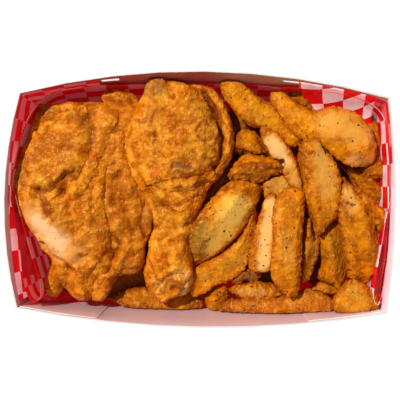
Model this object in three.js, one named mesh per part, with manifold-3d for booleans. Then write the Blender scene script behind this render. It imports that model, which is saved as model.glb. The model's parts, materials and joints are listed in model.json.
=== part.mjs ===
// Fried chicken with potato wedges in an open paperboard tray with a checked paper liner.
// Millimetres, +Z up. The origin is the middle of the tray's outer box, on the table.
// +X is to the right and +Y to the back, as the tray is seen from above.
import * as THREE from 'three';
import { mergeVertices } from 'three/addons/utils/BufferGeometryUtils.js';
import Module from 'manifold-3d';

const wasm = await Module();
wasm.setup();

// ---------------------------------------------------------------- driving dimensions

// The tray: upright corner folds on a flat rectangle, with walls that bow out towards the rim.
const TRAY_LEFT = -113;
const TRAY_RIGHT = 117;
const TRAY_FRONT = -69.4;
const TRAY_BACK = 64.8;
const TRAY_HEIGHT = 66;
const BOARD = 0.8;
const BOW = { front: 10.4, right: 4.8, back: 15, left: 8.8 };
const BOW_POWER = 1.1;

// Two locking slots through the back wall, and two corner flaps glued inside the front wall.
const SLOT = { width: 11, height: 3.4, centre: 59.2, left: -57, right: 56.4 };
// Their ends lean from a low to a high place along the wall.
const GLUED_FLAP = { low: 1.6, high: 63.5, thickness: 0.5, leftEnd: [0.245, 0.215], rightEnd: [0.775, 0.795] };

// The paper liner. Turns are the lengths over which it rounds each corner: before and after it.
const PAPER = 0.5;
const PAPER_GAP = 0.4;
const PAPER_TURNS = [[8, 8], [8, 8], [15, 25], [26, 58]];
const PAPER_EDGE = {
  front: [42, 24, 30, 22, 27, 24, 30, 40],
  right: [50, 58, 61, 62, 60],
  back: [60, 58, 54, 51, 50, 54, 61, 63],
  left: [64, 64, 62, 60, 57],
};
// Plan lines of the two corner pleats, from the side wall round the fold and back.
const LEFT_PLEAT = [[-121, 14], [-116, -5], [-110.5, -25], [-104.5, -45], [-100.5, -57], [-101, -64.5],
  [-105, -67], [-109, -62], [-112, -52]];
const RIGHT_PLEAT = [[121, 2], [117.6, -10], [114.8, -28], [112, -45], [110.6, -56], [111, -62.5],
  [113.6, -65.3], [115.6, -60]];
const PLEAT_TOP = { left: 57, right: 58 };
// The corner of the paper that is folded in over the wedges: its edge on the wall, its free edge, how
// far it sags between them, and how much steeper than it is thick it cuts through what is under it.
const FOLD_ROOT = [[61.5, 76.8, 61], [78, 74.2, 61], [96, 70, 60.5], [113, 62.5, 59]];
const FOLD_FREE = [[70, 55.5, 40], [83, 54, 37], [96, 52, 36], [110, 48, 37]];
const FOLD_SAG = 6;
const FOLD_STEEPNESS = 3;

// Food keeps this much air to the board, to the paper and to the food that lies on it.
const FOOD_GAP = 0.35;

// How finely round forms are stepped: along a wall, along a paper wall, round a corner and up a wall.
const WALL_STEPS = 9;
const PAPER_STEPS = 6;
const TURN_STEPS = 2;
const WALL_LEVELS = [0, 0.25, 0.5, 0.75, 1];
const PAPER_LEVELS = [0, 0.4, 0.7, 1];
const FOLD_STEPS = 5;
const MEAT_STEPS = 13;
const THIN_MEAT_STEPS = 10;
const SKIN_STEPS = 6;

// Chicken pieces lofted from back to front. Each section: [y, left, right, bottom, top].
const LEG_SECTIONS = [
  [77, -32, -17, 45, 54], [74, -35, -8, 38, 57.5], [68, -36, 2, 28, 59.5], [58, -39, 10, 20, 60.5],
  [45, -42.5, 14, 17, 61.5], [31, -45, 14.5, 17, 61.5], [18, -43, 13, 18, 60], [7, -39, 8.5, 20, 57.5],
  [-3, -34.5, 1.5, 22, 54.5], [-13, -32.5, -2.5, 23, 52], [-24, -32, -6, 23.5, 50],
  [-36, -34, -6.5, 23.5, 48.5], [-48, -36.5, -5, 23, 47.5], [-58, -35, -4.5, 23.5, 46],
  [-65.5, -29, -8, 27, 42],
];
// The loose rim of skin along the right of the thigh: [x, y, z, radius].
const LEG_RIM = [[2, 69.5, 48, 3.4], [10, 67.5, 46, 4.8], [16, 60, 44, 5.4], [18.5, 48, 42, 5.6], [18.5, 36, 41, 5.6],
  [17, 25, 41, 5.5], [11.5, 14, 42, 5.5], [4, 5, 42, 4]];
const BREAST_SECTIONS = [
  [60.5, -97, -50, 34, 41], [56, -105, -44, 26, 47], [46, -109, -41, 20, 51], [34, -112, -43, 18, 54],
  [20, -116, -50, 17, 56], [6, -118, -57, 17, 57], [-8, -116.5, -57, 17, 56.5], [-20, -110, -54.5, 17.5, 54.5],
  [-32, -100.5, -53, 18, 52], [-44, -98, -56.5, 19, 48.5], [-54, -97, -60, 22, 44],
];
const BREAST_TAILS = [[[-95.5, -55, 31], [7, 12, 10]], [[-76.5, -58, 32], [10.5, 10.5, 11]]];
const WING_SECTIONS = [
  [68, -60, -47, 34, 42], [61, -62, -40, 27, 47], [50, -60, -36, 24, 50], [36, -57, -36, 22, 51],
  [18, -58, -36, 20, 51.5], [0, -60, -31, 20, 50.5], [-16, -59, -28.5, 20, 48],
  [-30, -56, -30, 21, 45.5], [-41, -56, -34, 22, 43], [-50, -61, -42, 25, 40.5],
  [-60, -67, -55, 27.5, 37.5],
];
const BACK_SECTIONS = [
  [50, -96, -30, 5, 15], [42, -101, -12, 2.5, 22], [10, -106, -5, 2, 25], [-25, -102, -9, 2, 25.5],
  [-50, -99, -26, 2.5, 26], [-62, -92, -38, 5, 24], [-67, -83, -50, 10, 19],
];

// Potato wedges, top of the heap first. at is the middle, size is length, width and depth, angles are
// in degrees. A roll of 0 shows the ridge between the two cut faces, 180 shows the skin, and 50 or -50
// lays one cut face level. widest is where along the length the wedge is fattest, tips are how pointed
// its ends are (1 is sharp), and bend is how far its middle swings to the left.
const WEDGES = [
  { at: [77, 52.5, 47.5], size: [88, 29, 21], yaw: -29.5, roll: 172, widest: 0.72, tips: [0.75, 0.35], bend: -6 },
  { at: [58.5, -27, 50], size: [71, 21, 18], yaw: -91, pitch: -3, roll: 168, widest: 0.5, tips: [0.45, 0.35], bend: -2 },
  { at: [75, 10, 48], size: [64, 27, 21], yaw: -79, pitch: -3, roll: 30, widest: 0.5, tips: [0.3, 0.42], bend: 3 },
  { at: [98, -19, 46.5], size: [73, 26, 20], yaw: -75, pitch: -6, roll: 176, widest: 0.6, tips: [0.6, 0.35], bend: 4 },
  { at: [42, 53, 47], size: [68, 19, 17], yaw: -34, pitch: -6, roll: -48, widest: 0.3, tips: [0.35, 0.7], bend: -2 },
  { at: [36, 20, 47], size: [37, 19, 15], yaw: 13, roll: -6, widest: 0.5, tips: [0.25, 0.25] },
  { at: [51, 25, 46], size: [54, 16, 15], yaw: -59, pitch: -4, roll: 48, widest: 0.4, tips: [0.35, 0.5], bend: 2 },
  { at: [14, -14, 42], size: [66, 33, 23], yaw: -121, pitch: -7, roll: 140, widest: 0.42, tips: [0.22, 0.45], bend: -2 },
  { at: [41.5, -21, 43], size: [53, 19, 17], yaw: -98, roll: 55, widest: 0.6, tips: [0.4, 0.3] },
  { at: [38, 34, 40], size: [35, 19, 14], yaw: -42, roll: 20, widest: 0.5, tips: [0.35, 0.4] },
  { at: [62, 65, 41], size: [30, 14, 13], yaw: -26, roll: 170, widest: 0.5, tips: [0.4, 0.4] },
  { at: [51, 9, 39.5], size: [38, 19, 14], yaw: 16, roll: -45, widest: 0.5, tips: [0.35, 0.35] },
  { at: [70.5, -22, 39.5], size: [62, 16, 16], yaw: -95, pitch: -3, roll: 20, widest: 0.5, tips: [0.4, 0.5] },
  { at: [86, -32, 38], size: [52, 22, 18], yaw: -83, pitch: -4, roll: 12, widest: 0.6, tips: [0.4, 0.3] },
  { at: [113, -4, 48], size: [44, 17, 14], yaw: -49, roll: 20, widest: 0.65, tips: [0.6, 0.4] },
  { at: [111, 21, 39], size: [23, 15, 13], yaw: -32, roll: 175, widest: 0.5, tips: [0.3, 0.3] },
  { at: [102.5, -63.5, 46], size: [35, 27, 20], yaw: 4, roll: 25, widest: 0.5, tips: [0.3, 0.3] },
  { at: [14, -43, 36], size: [60, 20, 16], yaw: -139, pitch: -5, roll: 28, widest: 0.5, tips: [0.4, 0.45] },
  { at: [114, 38, 35], size: [38, 16, 15], yaw: -81, roll: 185, widest: 0.5, tips: [0.35, 0.35] },
  { at: [39, -61, 33], size: [42, 14, 13], yaw: -4, roll: 172, widest: 0.5, tips: [0.4, 0.35], bend: 1 },
  { at: [32, -51, 33], size: [25, 10, 10], yaw: -154, roll: 15, widest: 0.5, tips: [0.5, 0.5] },
  { at: [106, 9, 34], size: [39, 24, 17], yaw: -50, roll: -20, widest: 0.5, tips: [0.3, 0.3] },
  { at: [51, -70.5, 36], size: [80, 17, 16], yaw: 1, pitch: 6, roll: 32, widest: 0.6, tips: [0.5, 0.3], bend: -1 },
  { at: [84, -57, 29], size: [26, 14, 12], yaw: 7, roll: 10, widest: 0.5, tips: [0.35, 0.35] },
  { at: [15, 11, 28], size: [42, 21, 16], yaw: -126, roll: 30, widest: 0.5, tips: [0.35, 0.35] },
  { at: [24, 41, 27], size: [44, 20, 16], yaw: -93, roll: 178, widest: 0.5, tips: [0.35, 0.35] },
  { at: [12, -64, 29], size: [28, 15, 13], yaw: -105, pitch: -8, roll: 10, widest: 0.6, tips: [0.35, 0.35] },
  { at: [-28, -71, 27], size: [66, 14, 14], yaw: -3, roll: 24, widest: 0.5, tips: [0.5, 0.45] },
  { at: [80, 33, 24], size: [64, 22, 18], yaw: -20, roll: 10, widest: 0.5, tips: [0.35, 0.35] },
  { at: [48, -8, 23], size: [68, 22, 17], yaw: -72, roll: 172, widest: 0.5, tips: [0.35, 0.35] },
  { at: [78, -46, 16], size: [46, 20, 16], yaw: -44, roll: 6, widest: 0.5, tips: [0.35, 0.35] },
  { at: [45, -54, 17], size: [36, 19, 15], yaw: -36, roll: 176, widest: 0.5, tips: [0.35, 0.35] },
  { at: [86, 2, 16], size: [64, 22, 17], yaw: 58, roll: 14, widest: 0.5, tips: [0.35, 0.35] },
  { at: [44, 44, 12], size: [72, 21, 17], yaw: -12, roll: 4, widest: 0.5, tips: [0.35, 0.35] },
  { at: [24, -24, 11], size: [60, 20, 16], yaw: -110, roll: 178, widest: 0.5, tips: [0.35, 0.35] },
  { at: [104, -30, 15], size: [54, 20, 17], yaw: -84, roll: 8, widest: 0.5, tips: [0.35, 0.35] },
];

// ---------------------------------------------------------------- meshes and solids

/** A closed surface through rings of equal length, with a flat fan on the first and the last ring. */
function loft(rings) {
  const count = rings[0].length;
  const middle = (ring) => ring.reduce((sum, p) => sum.add(p), new THREE.Vector3()).divideScalar(count);
  const points = [...rings.flat(), middle(rings[0]), middle(rings.at(-1))];
  const first = points.length - 2;
  const last = points.length - 1;
  const top = (rings.length - 1) * count;
  const faces = [];
  for (let i = 0; i < count; i += 1) {
    const next = (i + 1) % count;
    for (let row = 0; row < top; row += count) {
      faces.push(row + i, row + next, row + count + next, row + i, row + count + next, row + count + i);
    }
    faces.push(first, next, i, last, top + i, top + next);
  }
  const geometry = new THREE.BufferGeometry().setFromPoints(points);
  geometry.setIndex(faces);
  return geometry;
}

/** A closed slab between a grid of points and the same grid moved by a step. */
function slab(grid, step) {
  const moved = grid.map((row) => row.map((p) => p.clone().add(step)));
  const rings = grid.map((row, i) => [...row, ...moved[i].toReversed()]);
  return loft(rings);
}

function toSolid(geometry) {
  const shape = geometry.clone();
  shape.deleteAttribute('normal');
  shape.deleteAttribute('uv');
  const merged = mergeVertices(shape, 1e-4);
  return new wasm.Manifold(new wasm.Mesh({
    numProp: 3,
    vertProperties: Float32Array.from(merged.attributes.position.array),
    triVerts: Uint32Array.from(merged.index.array),
  }));
}

function toMesh(name, solid, color, roughness) {
  const { vertProperties, triVerts } = solid.getMesh();
  const geometry = new THREE.BufferGeometry();
  geometry.setAttribute('position', new THREE.BufferAttribute(Float32Array.from(vertProperties), 3));
  geometry.setIndex(new THREE.BufferAttribute(Uint32Array.from(triVerts), 1));
  geometry.computeVertexNormals();
  const mesh = new THREE.Mesh(geometry, new THREE.MeshStandardMaterial({ color, roughness, metalness: 0 }));
  mesh.name = name;
  return mesh;
}

function largestBody(solid) {
  return solid.decompose().reduce((best, body) => (body.volume() > best.volume() ? body : best));
}

/** Straight-line value at a fraction of the way through evenly spaced values. */
function valueAt(values, fraction) {
  const place = fraction * (values.length - 1);
  const i = Math.min(Math.floor(place), values.length - 2);
  return THREE.MathUtils.lerp(values[i], values[i + 1], place - i);
}

// ---------------------------------------------------------------- tray and liner

const SIDES = [
  { name: 'front', out: [0, -1] },
  { name: 'right', out: [1, 0] },
  { name: 'back', out: [0, 1] },
  { name: 'left', out: [-1, 0] },
];

/** A point on a wall, moved in from its outer face. side 0 to 3 runs front, right, back, left. */
function wallPoint(side, along, z, inset) {
  const corners = [
    [TRAY_LEFT + inset, TRAY_FRONT + inset],
    [TRAY_RIGHT - inset, TRAY_FRONT + inset],
    [TRAY_RIGHT - inset, TRAY_BACK - inset],
    [TRAY_LEFT + inset, TRAY_BACK - inset],
  ];
  const [ax, ay] = corners[side];
  const [bx, by] = corners[(side + 1) % 4];
  const { name, out } = SIDES[side];
  const swell = BOW[name] * 4 * along * (1 - along) * Math.max(z / TRAY_HEIGHT, 0) ** BOW_POWER;
  return new THREE.Vector3(
    THREE.MathUtils.lerp(ax, bx, along) + out[0] * swell,
    THREE.MathUtils.lerp(ay, by, along) + out[1] * swell,
    z,
  );
}

/** Places round the tray, seen from above against the clock: walls, then the turn after each. */
function places(turns, steps) {
  const lengths = [TRAY_RIGHT - TRAY_LEFT, TRAY_BACK - TRAY_FRONT];
  const list = [];
  for (let side = 0; side < 4; side += 1) {
    const length = lengths[side % 2];
    const start = turns[side][1] / length;
    const end = 1 - turns[(side + 1) % 4][0] / length;
    for (let i = 0; i < steps; i += 1) {
      list.push({ side, along: THREE.MathUtils.lerp(start, end, i / (steps - 1)) });
    }
    const next = { side: (side + 1) % 4, along: turns[(side + 1) % 4][1] / lengths[(side + 1) % 2] };
    for (let i = 1; i <= TURN_STEPS && turns[(side + 1) % 4][0] > 0; i += 1) {
      list.push({ side, along: end, next, turn: i / (TURN_STEPS + 1) });
    }
  }
  return list;
}

/** The point of a place at one height and inset. A turn is a quadratic curve round the corner. */
function placePoint(place, z, inset) {
  const from = wallPoint(place.side, place.along, z, inset);
  if (!place.next) {
    return from;
  }
  const corner = wallPoint(place.side, 1, z, inset);
  const to = wallPoint(place.next.side, place.next.along, z, inset);
  return new THREE.QuadraticBezierCurve3(from, corner, to).getPoint(place.turn);
}

const SQUARE_PLACES = places([[0, 0], [0, 0], [0, 0], [0, 0]], WALL_STEPS).filter((p) => p.along < 1);
const PAPER_PLACES = places(PAPER_TURNS, PAPER_STEPS);

function makeTray() {
  const ring = (z, inset) => SQUARE_PLACES.map((place) => placePoint(place, z, inset));
  const outside = WALL_LEVELS.map((level) => ring(level * TRAY_HEIGHT, 0));
  const inside = WALL_LEVELS.map((level) => ring(Math.max(level * TRAY_HEIGHT, BOARD), BOARD)).reverse();
  let tray = toSolid(loft([...outside, ...inside])).add(gluedFlaps(0));
  for (const x of [SLOT.left, SLOT.right]) {
    const cutter = new THREE.BoxGeometry(SLOT.width, BOW.back * 2, SLOT.height);
    cutter.translate(x, TRAY_BACK + BOW.back * 0.7, SLOT.centre);
    tray = tray.subtract(toSolid(cutter));
  }
  return tray;
}

// How close a glued flap comes to the corner, as a part of the wall's length.
const FLAP_ROOT = 0.004;

/** A corner flap on the inside of the front wall, grown at its end, its top and its face by a margin. */
function gluedFlap(atLeft, [lowEnd, highEnd], grow) {
  const rows = WALL_LEVELS.map((level) => {
    const z = THREE.MathUtils.lerp(GLUED_FLAP.low, GLUED_FLAP.high + grow, level);
    const end = THREE.MathUtils.lerp(lowEnd, highEnd, level) + (atLeft ? grow : -grow) / (TRAY_RIGHT - TRAY_LEFT);
    const [from, to] = atLeft ? [FLAP_ROOT, end] : [end, 1 - FLAP_ROOT];
    const line = (inset) => WALL_LEVELS.map((step) => wallPoint(0, THREE.MathUtils.lerp(from, to, step), z, inset));
    return [...line(BOARD * 0.5), ...line(BOARD + GLUED_FLAP.thickness + grow).reverse()];
  });
  return toSolid(loft(rows));
}

function gluedFlaps(grow) {
  return gluedFlap(true, GLUED_FLAP.leftEnd, grow).add(gluedFlap(false, GLUED_FLAP.rightEnd, grow));
}

const PAPER_INSET = BOARD + PAPER_GAP + GLUED_FLAP.thickness;
const PAPER_FLOOR = BOARD + PAPER_GAP;
const FLOOR_ROUND = 3;

/** Rings of the paper's outer or inner face, from the floor to the uneven top edge, raised a little. */
function paperRings(skin, raise) {
  const inset = PAPER_INSET + skin;
  const floor = PAPER_FLOOR + skin;
  const edgeAt = ({ side, along }) => valueAt(PAPER_EDGE[SIDES[side].name], along);
  const edge = (place) => {
    const own = edgeAt(place);
    return raise + (place.next ? THREE.MathUtils.lerp(own, edgeAt(place.next), place.turn) : own);
  };
  const ring = (heightOf, extra) => PAPER_PLACES.map((place) => placePoint(place, heightOf(place), inset + extra));
  const wallRing = (level) => ring((place) => THREE.MathUtils.lerp(floor + FLOOR_ROUND, edge(place), level), 0);
  return [
    ring(() => floor, FLOOR_ROUND * 4),
    ring(() => floor, FLOOR_ROUND),
    ...PAPER_LEVELS.map(wallRing),
  ];
}

/** The sheet without its folds. Its outer and inner faces are moved in by the two skins. */
function paperSheet(outer, inner, raise) {
  return toSolid(loft([...paperRings(outer, raise), ...paperRings(inner, raise).reverse()]));
}

const PAST_RIM = 1.1;

/** What is inside the board or the paper, up past the rim. */
function insideSpace(list, inset, floor, round) {
  const ring = (z, extra) => list.map((place) => placePoint(place, z, inset + extra));
  const levels = [...WALL_LEVELS.slice(1, -1), PAST_RIM].map((level) => ring(level * TRAY_HEIGHT, 0));
  return toSolid(loft([ring(floor, round), ring(floor + round, 0), ...levels]));
}

/** An upright strip of paper along a smooth plan line, grown on every side by a margin. */
function pleat(plan, top, grow) {
  const curve = new THREE.CatmullRomCurve3(plan.map(([x, y]) => new THREE.Vector3(x, y, 0)));
  const line = curve.getPoints(plan.length);
  const ahead = line.map((p, i) => {
    const step = line[Math.min(i + 1, line.length - 1)].clone().sub(line[Math.max(i - 1, 0)]);
    return step.normalize();
  });
  const side = (sign) => line.map((p, i) => new THREE.Vector2(-ahead[i].y, ahead[i].x)
    .multiplyScalar(sign * (PAPER / 2 + grow)).add(p));
  line[0].addScaledVector(ahead[0], -grow);
  line.at(-1).addScaledVector(ahead.at(-1), grow);
  const shape = new THREE.Shape([...side(1), ...side(-1).reverse()]);
  const geometry = new THREE.ExtrudeGeometry(shape, { depth: top + grow - PAPER_FLOOR, bevelEnabled: false });
  geometry.translate(0, 0, PAPER_FLOOR);
  return toSolid(geometry);
}

/** The corner of paper that leans in from the back wall over the wedges, grown by a margin. */
function foldedCorner(grow) {
  const line = (points) => {
    const curve = new THREE.CatmullRomCurve3(points.map((p) => new THREE.Vector3(...p)));
    const list = curve.getPoints(FOLD_STEPS);
    list[0].x -= grow * 2;
    list.at(-1).x += grow * 2;
    return list;
  };
  const root = line(FOLD_ROOT);
  const free = line(FOLD_FREE);
  const reach = FOLD_ROOT[0][1] - FOLD_FREE[0][1];
  const thickness = PAPER + grow * 2 * FOLD_STEEPNESS;
  const margin = grow > 0 ? [1 + (grow * 2) / reach] : [];
  const rows = [0, 0.5, 1, ...margin].map((down) => root.map((p, i) => {
    const point = p.clone().lerp(free[i], down);
    point.z -= FOLD_SAG * Math.sin(Math.PI * Math.min(down, 1)) + thickness / 2;
    return point;
  }));
  return toSolid(slab(rows, new THREE.Vector3(0, 0, thickness)));
}

function paperFolds(grow) {
  return pleat(LEFT_PLEAT, PLEAT_TOP.left, grow)
    .add(pleat(RIGHT_PLEAT, PLEAT_TOP.right, grow))
    .add(foldedCorner(grow));
}

function makeLiner() {
  const inside = insideSpace(PAPER_PLACES, PAPER_INSET, PAPER_FLOOR, FLOOR_ROUND);
  return largestBody(paperSheet(0, PAPER, 0).add(paperFolds(0).intersect(inside)));
}

// ---------------------------------------------------------------- food

// How high a piece of chicken is widest, as a part of its height, and how square its section is
// below that, above that and at its sides. Lower powers are squarer.
const WIDEST = 0.62;
const SQUARENESS = { below: 0.62, above: 0.9, sides: 0.86 };

/** An oval section that is widest above its middle and flatter below. */
function sectionRing([y, left, right, bottom, top], grow, steps) {
  const halfWidth = (right - left) / 2 + grow;
  const level = THREE.MathUtils.lerp(bottom, top, WIDEST);
  return Array.from({ length: steps }, (_, i) => {
    const angle = (i / steps) * Math.PI * 2;
    const side = Math.cos(angle);
    const rise = Math.sin(angle);
    const height = rise < 0
      ? (bottom - grow - level) * (-rise) ** SQUARENESS.below
      : (top + grow - level) * rise ** SQUARENESS.above;
    return new THREE.Vector3(
      (left + right) / 2 + halfWidth * Math.sign(side) * Math.abs(side) ** SQUARENESS.sides,
      y,
      level + height,
    );
  });
}

function meat(sections, grow, steps) {
  const rings = sections.map((section) => sectionRing(section, grow, steps));
  rings[0].forEach((p) => { p.y += grow; });
  rings.at(-1).forEach((p) => { p.y -= grow; });
  return toSolid(loft(rings));
}

// How much taller than it is wide the rim of skin is.
const RIM_TALLNESS = 1.5;

/** A rounded rim of skin through points with a radius each. */
function skinRim(stations, grow, steps) {
  const rings = stations.map(([x, y, z, radius], i) => {
    const before = stations[Math.max(i - 1, 0)];
    const after = stations[Math.min(i + 1, stations.length - 1)];
    const ahead = new THREE.Vector3(after[0] - before[0], after[1] - before[1], 0).normalize();
    const across = new THREE.Vector3(-ahead.y, ahead.x, 0);
    return Array.from({ length: steps }, (_, k) => {
      const angle = (k / steps) * Math.PI * 2;
      return new THREE.Vector3(x, y, z)
        .addScaledVector(across, Math.cos(angle) * (radius + grow))
        .add(new THREE.Vector3(0, 0, Math.sin(angle) * (radius * RIM_TALLNESS + grow)));
    });
  });
  return toSolid(loft(rings));
}

function lump([x, y, z], radii, grow) {
  const ball = new THREE.SphereGeometry(1, 8, 6);
  ball.scale(...radii.map((radius) => radius + grow));
  ball.translate(x, y, z);
  return toSolid(ball);
}

const CHICKEN = {
  chicken_leg: (grow) => meat(LEG_SECTIONS, grow, MEAT_STEPS).add(skinRim(LEG_RIM, grow, SKIN_STEPS)),
  chicken_breast: (grow) => BREAST_TAILS.reduce(
    (body, [at, radii]) => body.add(lump(at, radii, grow)),
    meat(BREAST_SECTIONS, grow, MEAT_STEPS),
  ),
  chicken_wing: (grow) => meat(WING_SECTIONS, grow, THIN_MEAT_STEPS),
  chicken_back: (grow) => meat(BACK_SECTIONS, grow, THIN_MEAT_STEPS),
};

// Section of a wedge: across the width, and down from the ridge as a part of the depth.
const WEDGE_SECTION = [[0.5, 0.68], [0.08, 0], [-0.08, 0], [-0.5, 0.68], [-0.25, 0.98], [0.25, 0.98]];
const WEDGE_STATIONS = [0.015, 0.12, 0.36, 0.64, 0.88, 0.985];
// How high the ridge is over the middle at a tip, and how much higher at the fattest, in depths.
const RIDGE = { tip: 0.28, rise: 0.22 };

function wedge({ at, size, yaw, pitch = 0, roll, widest, tips, bend = 0 }, grow) {
  const [length, width, depth] = size.map((value) => value + grow * 2);
  const lay = new THREE.Matrix4().makeRotationX(THREE.MathUtils.degToRad(roll));
  const turn = new THREE.Matrix4().makeRotationFromEuler(new THREE.Euler(
    0, THREE.MathUtils.degToRad(-pitch), THREE.MathUtils.degToRad(yaw), 'ZYX',
  )).setPosition(...at);
  const rings = WEDGE_STATIONS.map((u) => {
    const near = u < widest;
    const reach = near ? u / widest : (1 - u) / (1 - widest);
    const fat = Math.sin(reach * Math.PI / 2) ** (near ? tips[0] : tips[1]);
    const ridge = depth * (RIDGE.tip + RIDGE.rise * fat);
    const sway = bend * Math.sin(Math.PI * u);
    return WEDGE_SECTION.map(([across, down]) => new THREE.Vector3(
      (u - 0.5) * length, across * width * fat, ridge - down * depth * fat,
    ).applyMatrix4(lay).add(new THREE.Vector3(0, sway, 0)).applyMatrix4(turn));
  });
  return toSolid(loft(rings));
}

// ---------------------------------------------------------------- assembly

const BOARD_COLOR = 0xf4efec;
const PAPER_COLOR = 0xe0302a;
const CHICKEN_COLOR = 0xc77622;
const WEDGE_COLOR = 0xdc9028;
const part = new THREE.Group();
part.add(toMesh('tray', makeTray(), BOARD_COLOR, 0.35));
part.add(toMesh('liner', makeLiner(), PAPER_COLOR, 0.3));

// Each piece of food gives way to the paper and to what was placed before it.
const BOTTOM_ROUND = 0.5;
const space = insideSpace(SQUARE_PLACES, BOARD + FOOD_GAP, BOARD + FOOD_GAP, BOTTOM_ROUND);
let taken = paperSheet(BOARD / 2 - PAPER_INSET, PAPER + FOOD_GAP, FOOD_GAP)
  .add(paperFolds(FOOD_GAP))
  .add(gluedFlaps(FOOD_GAP));

function placeFood(name, make, color) {
  const free = make(0).intersect(space).subtract(taken);
  part.add(toMesh(name, largestBody(free), color, 0.6));
  taken = taken.add(make(FOOD_GAP));
}

for (const [name, make] of Object.entries(CHICKEN)) {
  placeFood(name, make, CHICKEN_COLOR);
}
WEDGES.forEach((form, i) => {
  placeFood(`wedge_${String(i + 1).padStart(2, '0')}`, (grow) => wedge(form, grow), WEDGE_COLOR);
});

export default part;
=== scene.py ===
"""Fried chicken and potato wedges in a paperboard tray with a checked paper liner.

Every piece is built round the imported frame. Lengths in the tables and functions are
millimetres in the frame's axes, and are turned to metres where a mesh is made.
"""

import json
import math
import random

import bmesh
import bpy
import numpy as np
from bpy.props import FloatProperty, FloatVectorProperty, IntProperty, PointerProperty
from mathutils import Matrix, Vector
from mathutils.bvhtree import BVHTree

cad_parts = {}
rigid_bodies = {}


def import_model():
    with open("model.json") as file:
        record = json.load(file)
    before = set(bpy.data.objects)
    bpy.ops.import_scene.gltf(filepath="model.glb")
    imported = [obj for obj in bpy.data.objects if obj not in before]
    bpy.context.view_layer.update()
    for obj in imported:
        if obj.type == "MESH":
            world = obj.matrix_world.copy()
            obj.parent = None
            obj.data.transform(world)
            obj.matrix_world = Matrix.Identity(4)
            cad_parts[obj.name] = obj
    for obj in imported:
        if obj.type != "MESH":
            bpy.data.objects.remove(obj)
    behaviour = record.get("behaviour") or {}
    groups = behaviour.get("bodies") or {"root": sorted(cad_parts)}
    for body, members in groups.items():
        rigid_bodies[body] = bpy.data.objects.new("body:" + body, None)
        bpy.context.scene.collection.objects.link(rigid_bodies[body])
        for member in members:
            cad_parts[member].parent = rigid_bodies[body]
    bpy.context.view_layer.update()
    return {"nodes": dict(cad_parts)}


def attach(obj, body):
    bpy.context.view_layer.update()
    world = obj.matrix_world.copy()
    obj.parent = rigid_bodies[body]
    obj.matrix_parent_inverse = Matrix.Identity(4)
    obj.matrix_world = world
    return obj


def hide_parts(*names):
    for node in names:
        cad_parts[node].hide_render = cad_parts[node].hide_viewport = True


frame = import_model()

bl_info = {
    "name": "Fried Chicken And Wedges",
    "version": (1, 0, 0),
    "blender": (4, 5, 0),
    "location": "3D View > Sidebar > Meal",
    "description": "Builds fried chicken and potato wedges in a lined paperboard tray",
    "category": "Add Mesh",
}

MM = 0.001


# ---------------------------------------------------------------- colour and nodes


def linear(code):
    """An sRGB hex colour as linear red, green and blue."""
    parts = [int(code[i:i + 2], 16) / 255 for i in (1, 3, 5)]
    return [p / 12.92 if p <= 0.04045 else ((p + 0.055) / 1.055) ** 2.4 for p in parts]


def add_node(tree, kind, settings=None, inputs=None):
    """One shader node with its settings and its inputs: a value, or a socket to link from."""
    node = tree.nodes.new(kind)
    for key, value in (settings or {}).items():
        setattr(node, key, value)
    for key, value in (inputs or {}).items():
        socket = node.inputs[key]
        if isinstance(value, bpy.types.NodeSocket):
            tree.links.new(value, socket)
        elif socket.type == "RGBA" and len(value) == 3:
            socket.default_value = (*value, 1)
        else:
            socket.default_value = value
    return node


def new_material(name):
    """An empty node material with its output, and the object's own coordinates."""
    material = bpy.data.materials.new(name)
    material.use_nodes = True
    tree = material.node_tree
    tree.nodes.clear()
    place = add_node(tree, "ShaderNodeTexCoord").outputs["Object"]
    return material, tree, place


def finish_material(tree, shader):
    """Links the shader to the material's output."""
    add_node(tree, "ShaderNodeOutputMaterial", None, {"Surface": shader.outputs[0]})


def noise_scale(size_mm):
    """The scale at which a noise texture's blotches are about this large."""
    return 1 / (size_mm * MM)


def color_mix(tree, factor, a, b, blend="MIX"):
    """Colour b over colour a."""
    settings = {"data_type": "RGBA", "blend_type": blend}
    node = add_node(tree, "ShaderNodeMix", settings, {0: factor, 6: a, 7: b})
    return node.outputs[2]


def ranged(tree, value, low, high, to_low=0.0, to_high=1.0):
    """A value moved from one range to another, and kept inside it."""
    inputs = {"Value": value, "From Min": low, "From Max": high, "To Min": to_low, "To Max": to_high}
    return add_node(tree, "ShaderNodeMapRange", None, inputs).outputs["Result"]


# ---------------------------------------------------------------- noise on points


# Large odd numbers that turn neighbouring cells and seeds to unlike values.
CELL_SPREAD = (374761393, 668265263, 2246822519)
SEED_SPREAD = (974634777, 12345)
BIT_MIXES = ((15, 2246822519), (13, 3266489917))
LOW_BITS = np.uint64(0xFFFFFFFF)


def lattice(cell, seed):
    """A repeatable value from 0 to 1 for each whole-number cell."""
    x, y, z = (cell[:, i].astype(np.uint64) * np.uint64(CELL_SPREAD[i]) for i in range(3))
    mixed = (x + y + z + np.uint64(seed * SEED_SPREAD[0] + SEED_SPREAD[1])) & LOW_BITS
    for shift, factor in BIT_MIXES:
        mixed = ((mixed ^ (mixed >> np.uint64(shift))) * np.uint64(factor)) & LOW_BITS
    mixed = mixed ^ (mixed >> np.uint64(16))
    return (mixed & np.uint64(0xFFFFFF)).astype(float) / 0xFFFFFF


FAR = 4096  # moves every point to positive cells
NOISE_STEP = 17.31  # each seed reads the noise this many cells further on
BUBBLE_STEP = 9.7


def noise(points, size, seed):
    """Smooth noise from -1 to 1 with lumps of about this size."""
    place = points / size + FAR + seed * NOISE_STEP
    cell = np.floor(place)
    part = place - cell
    blend = part * part * (3 - 2 * part)
    total = np.zeros(len(points))
    for corner in np.ndindex(2, 2, 2):
        weight = np.prod(np.where(corner, blend, 1 - blend), axis=1)
        total += weight * lattice(cell + corner, seed)
    return total * 2 - 1


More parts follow.
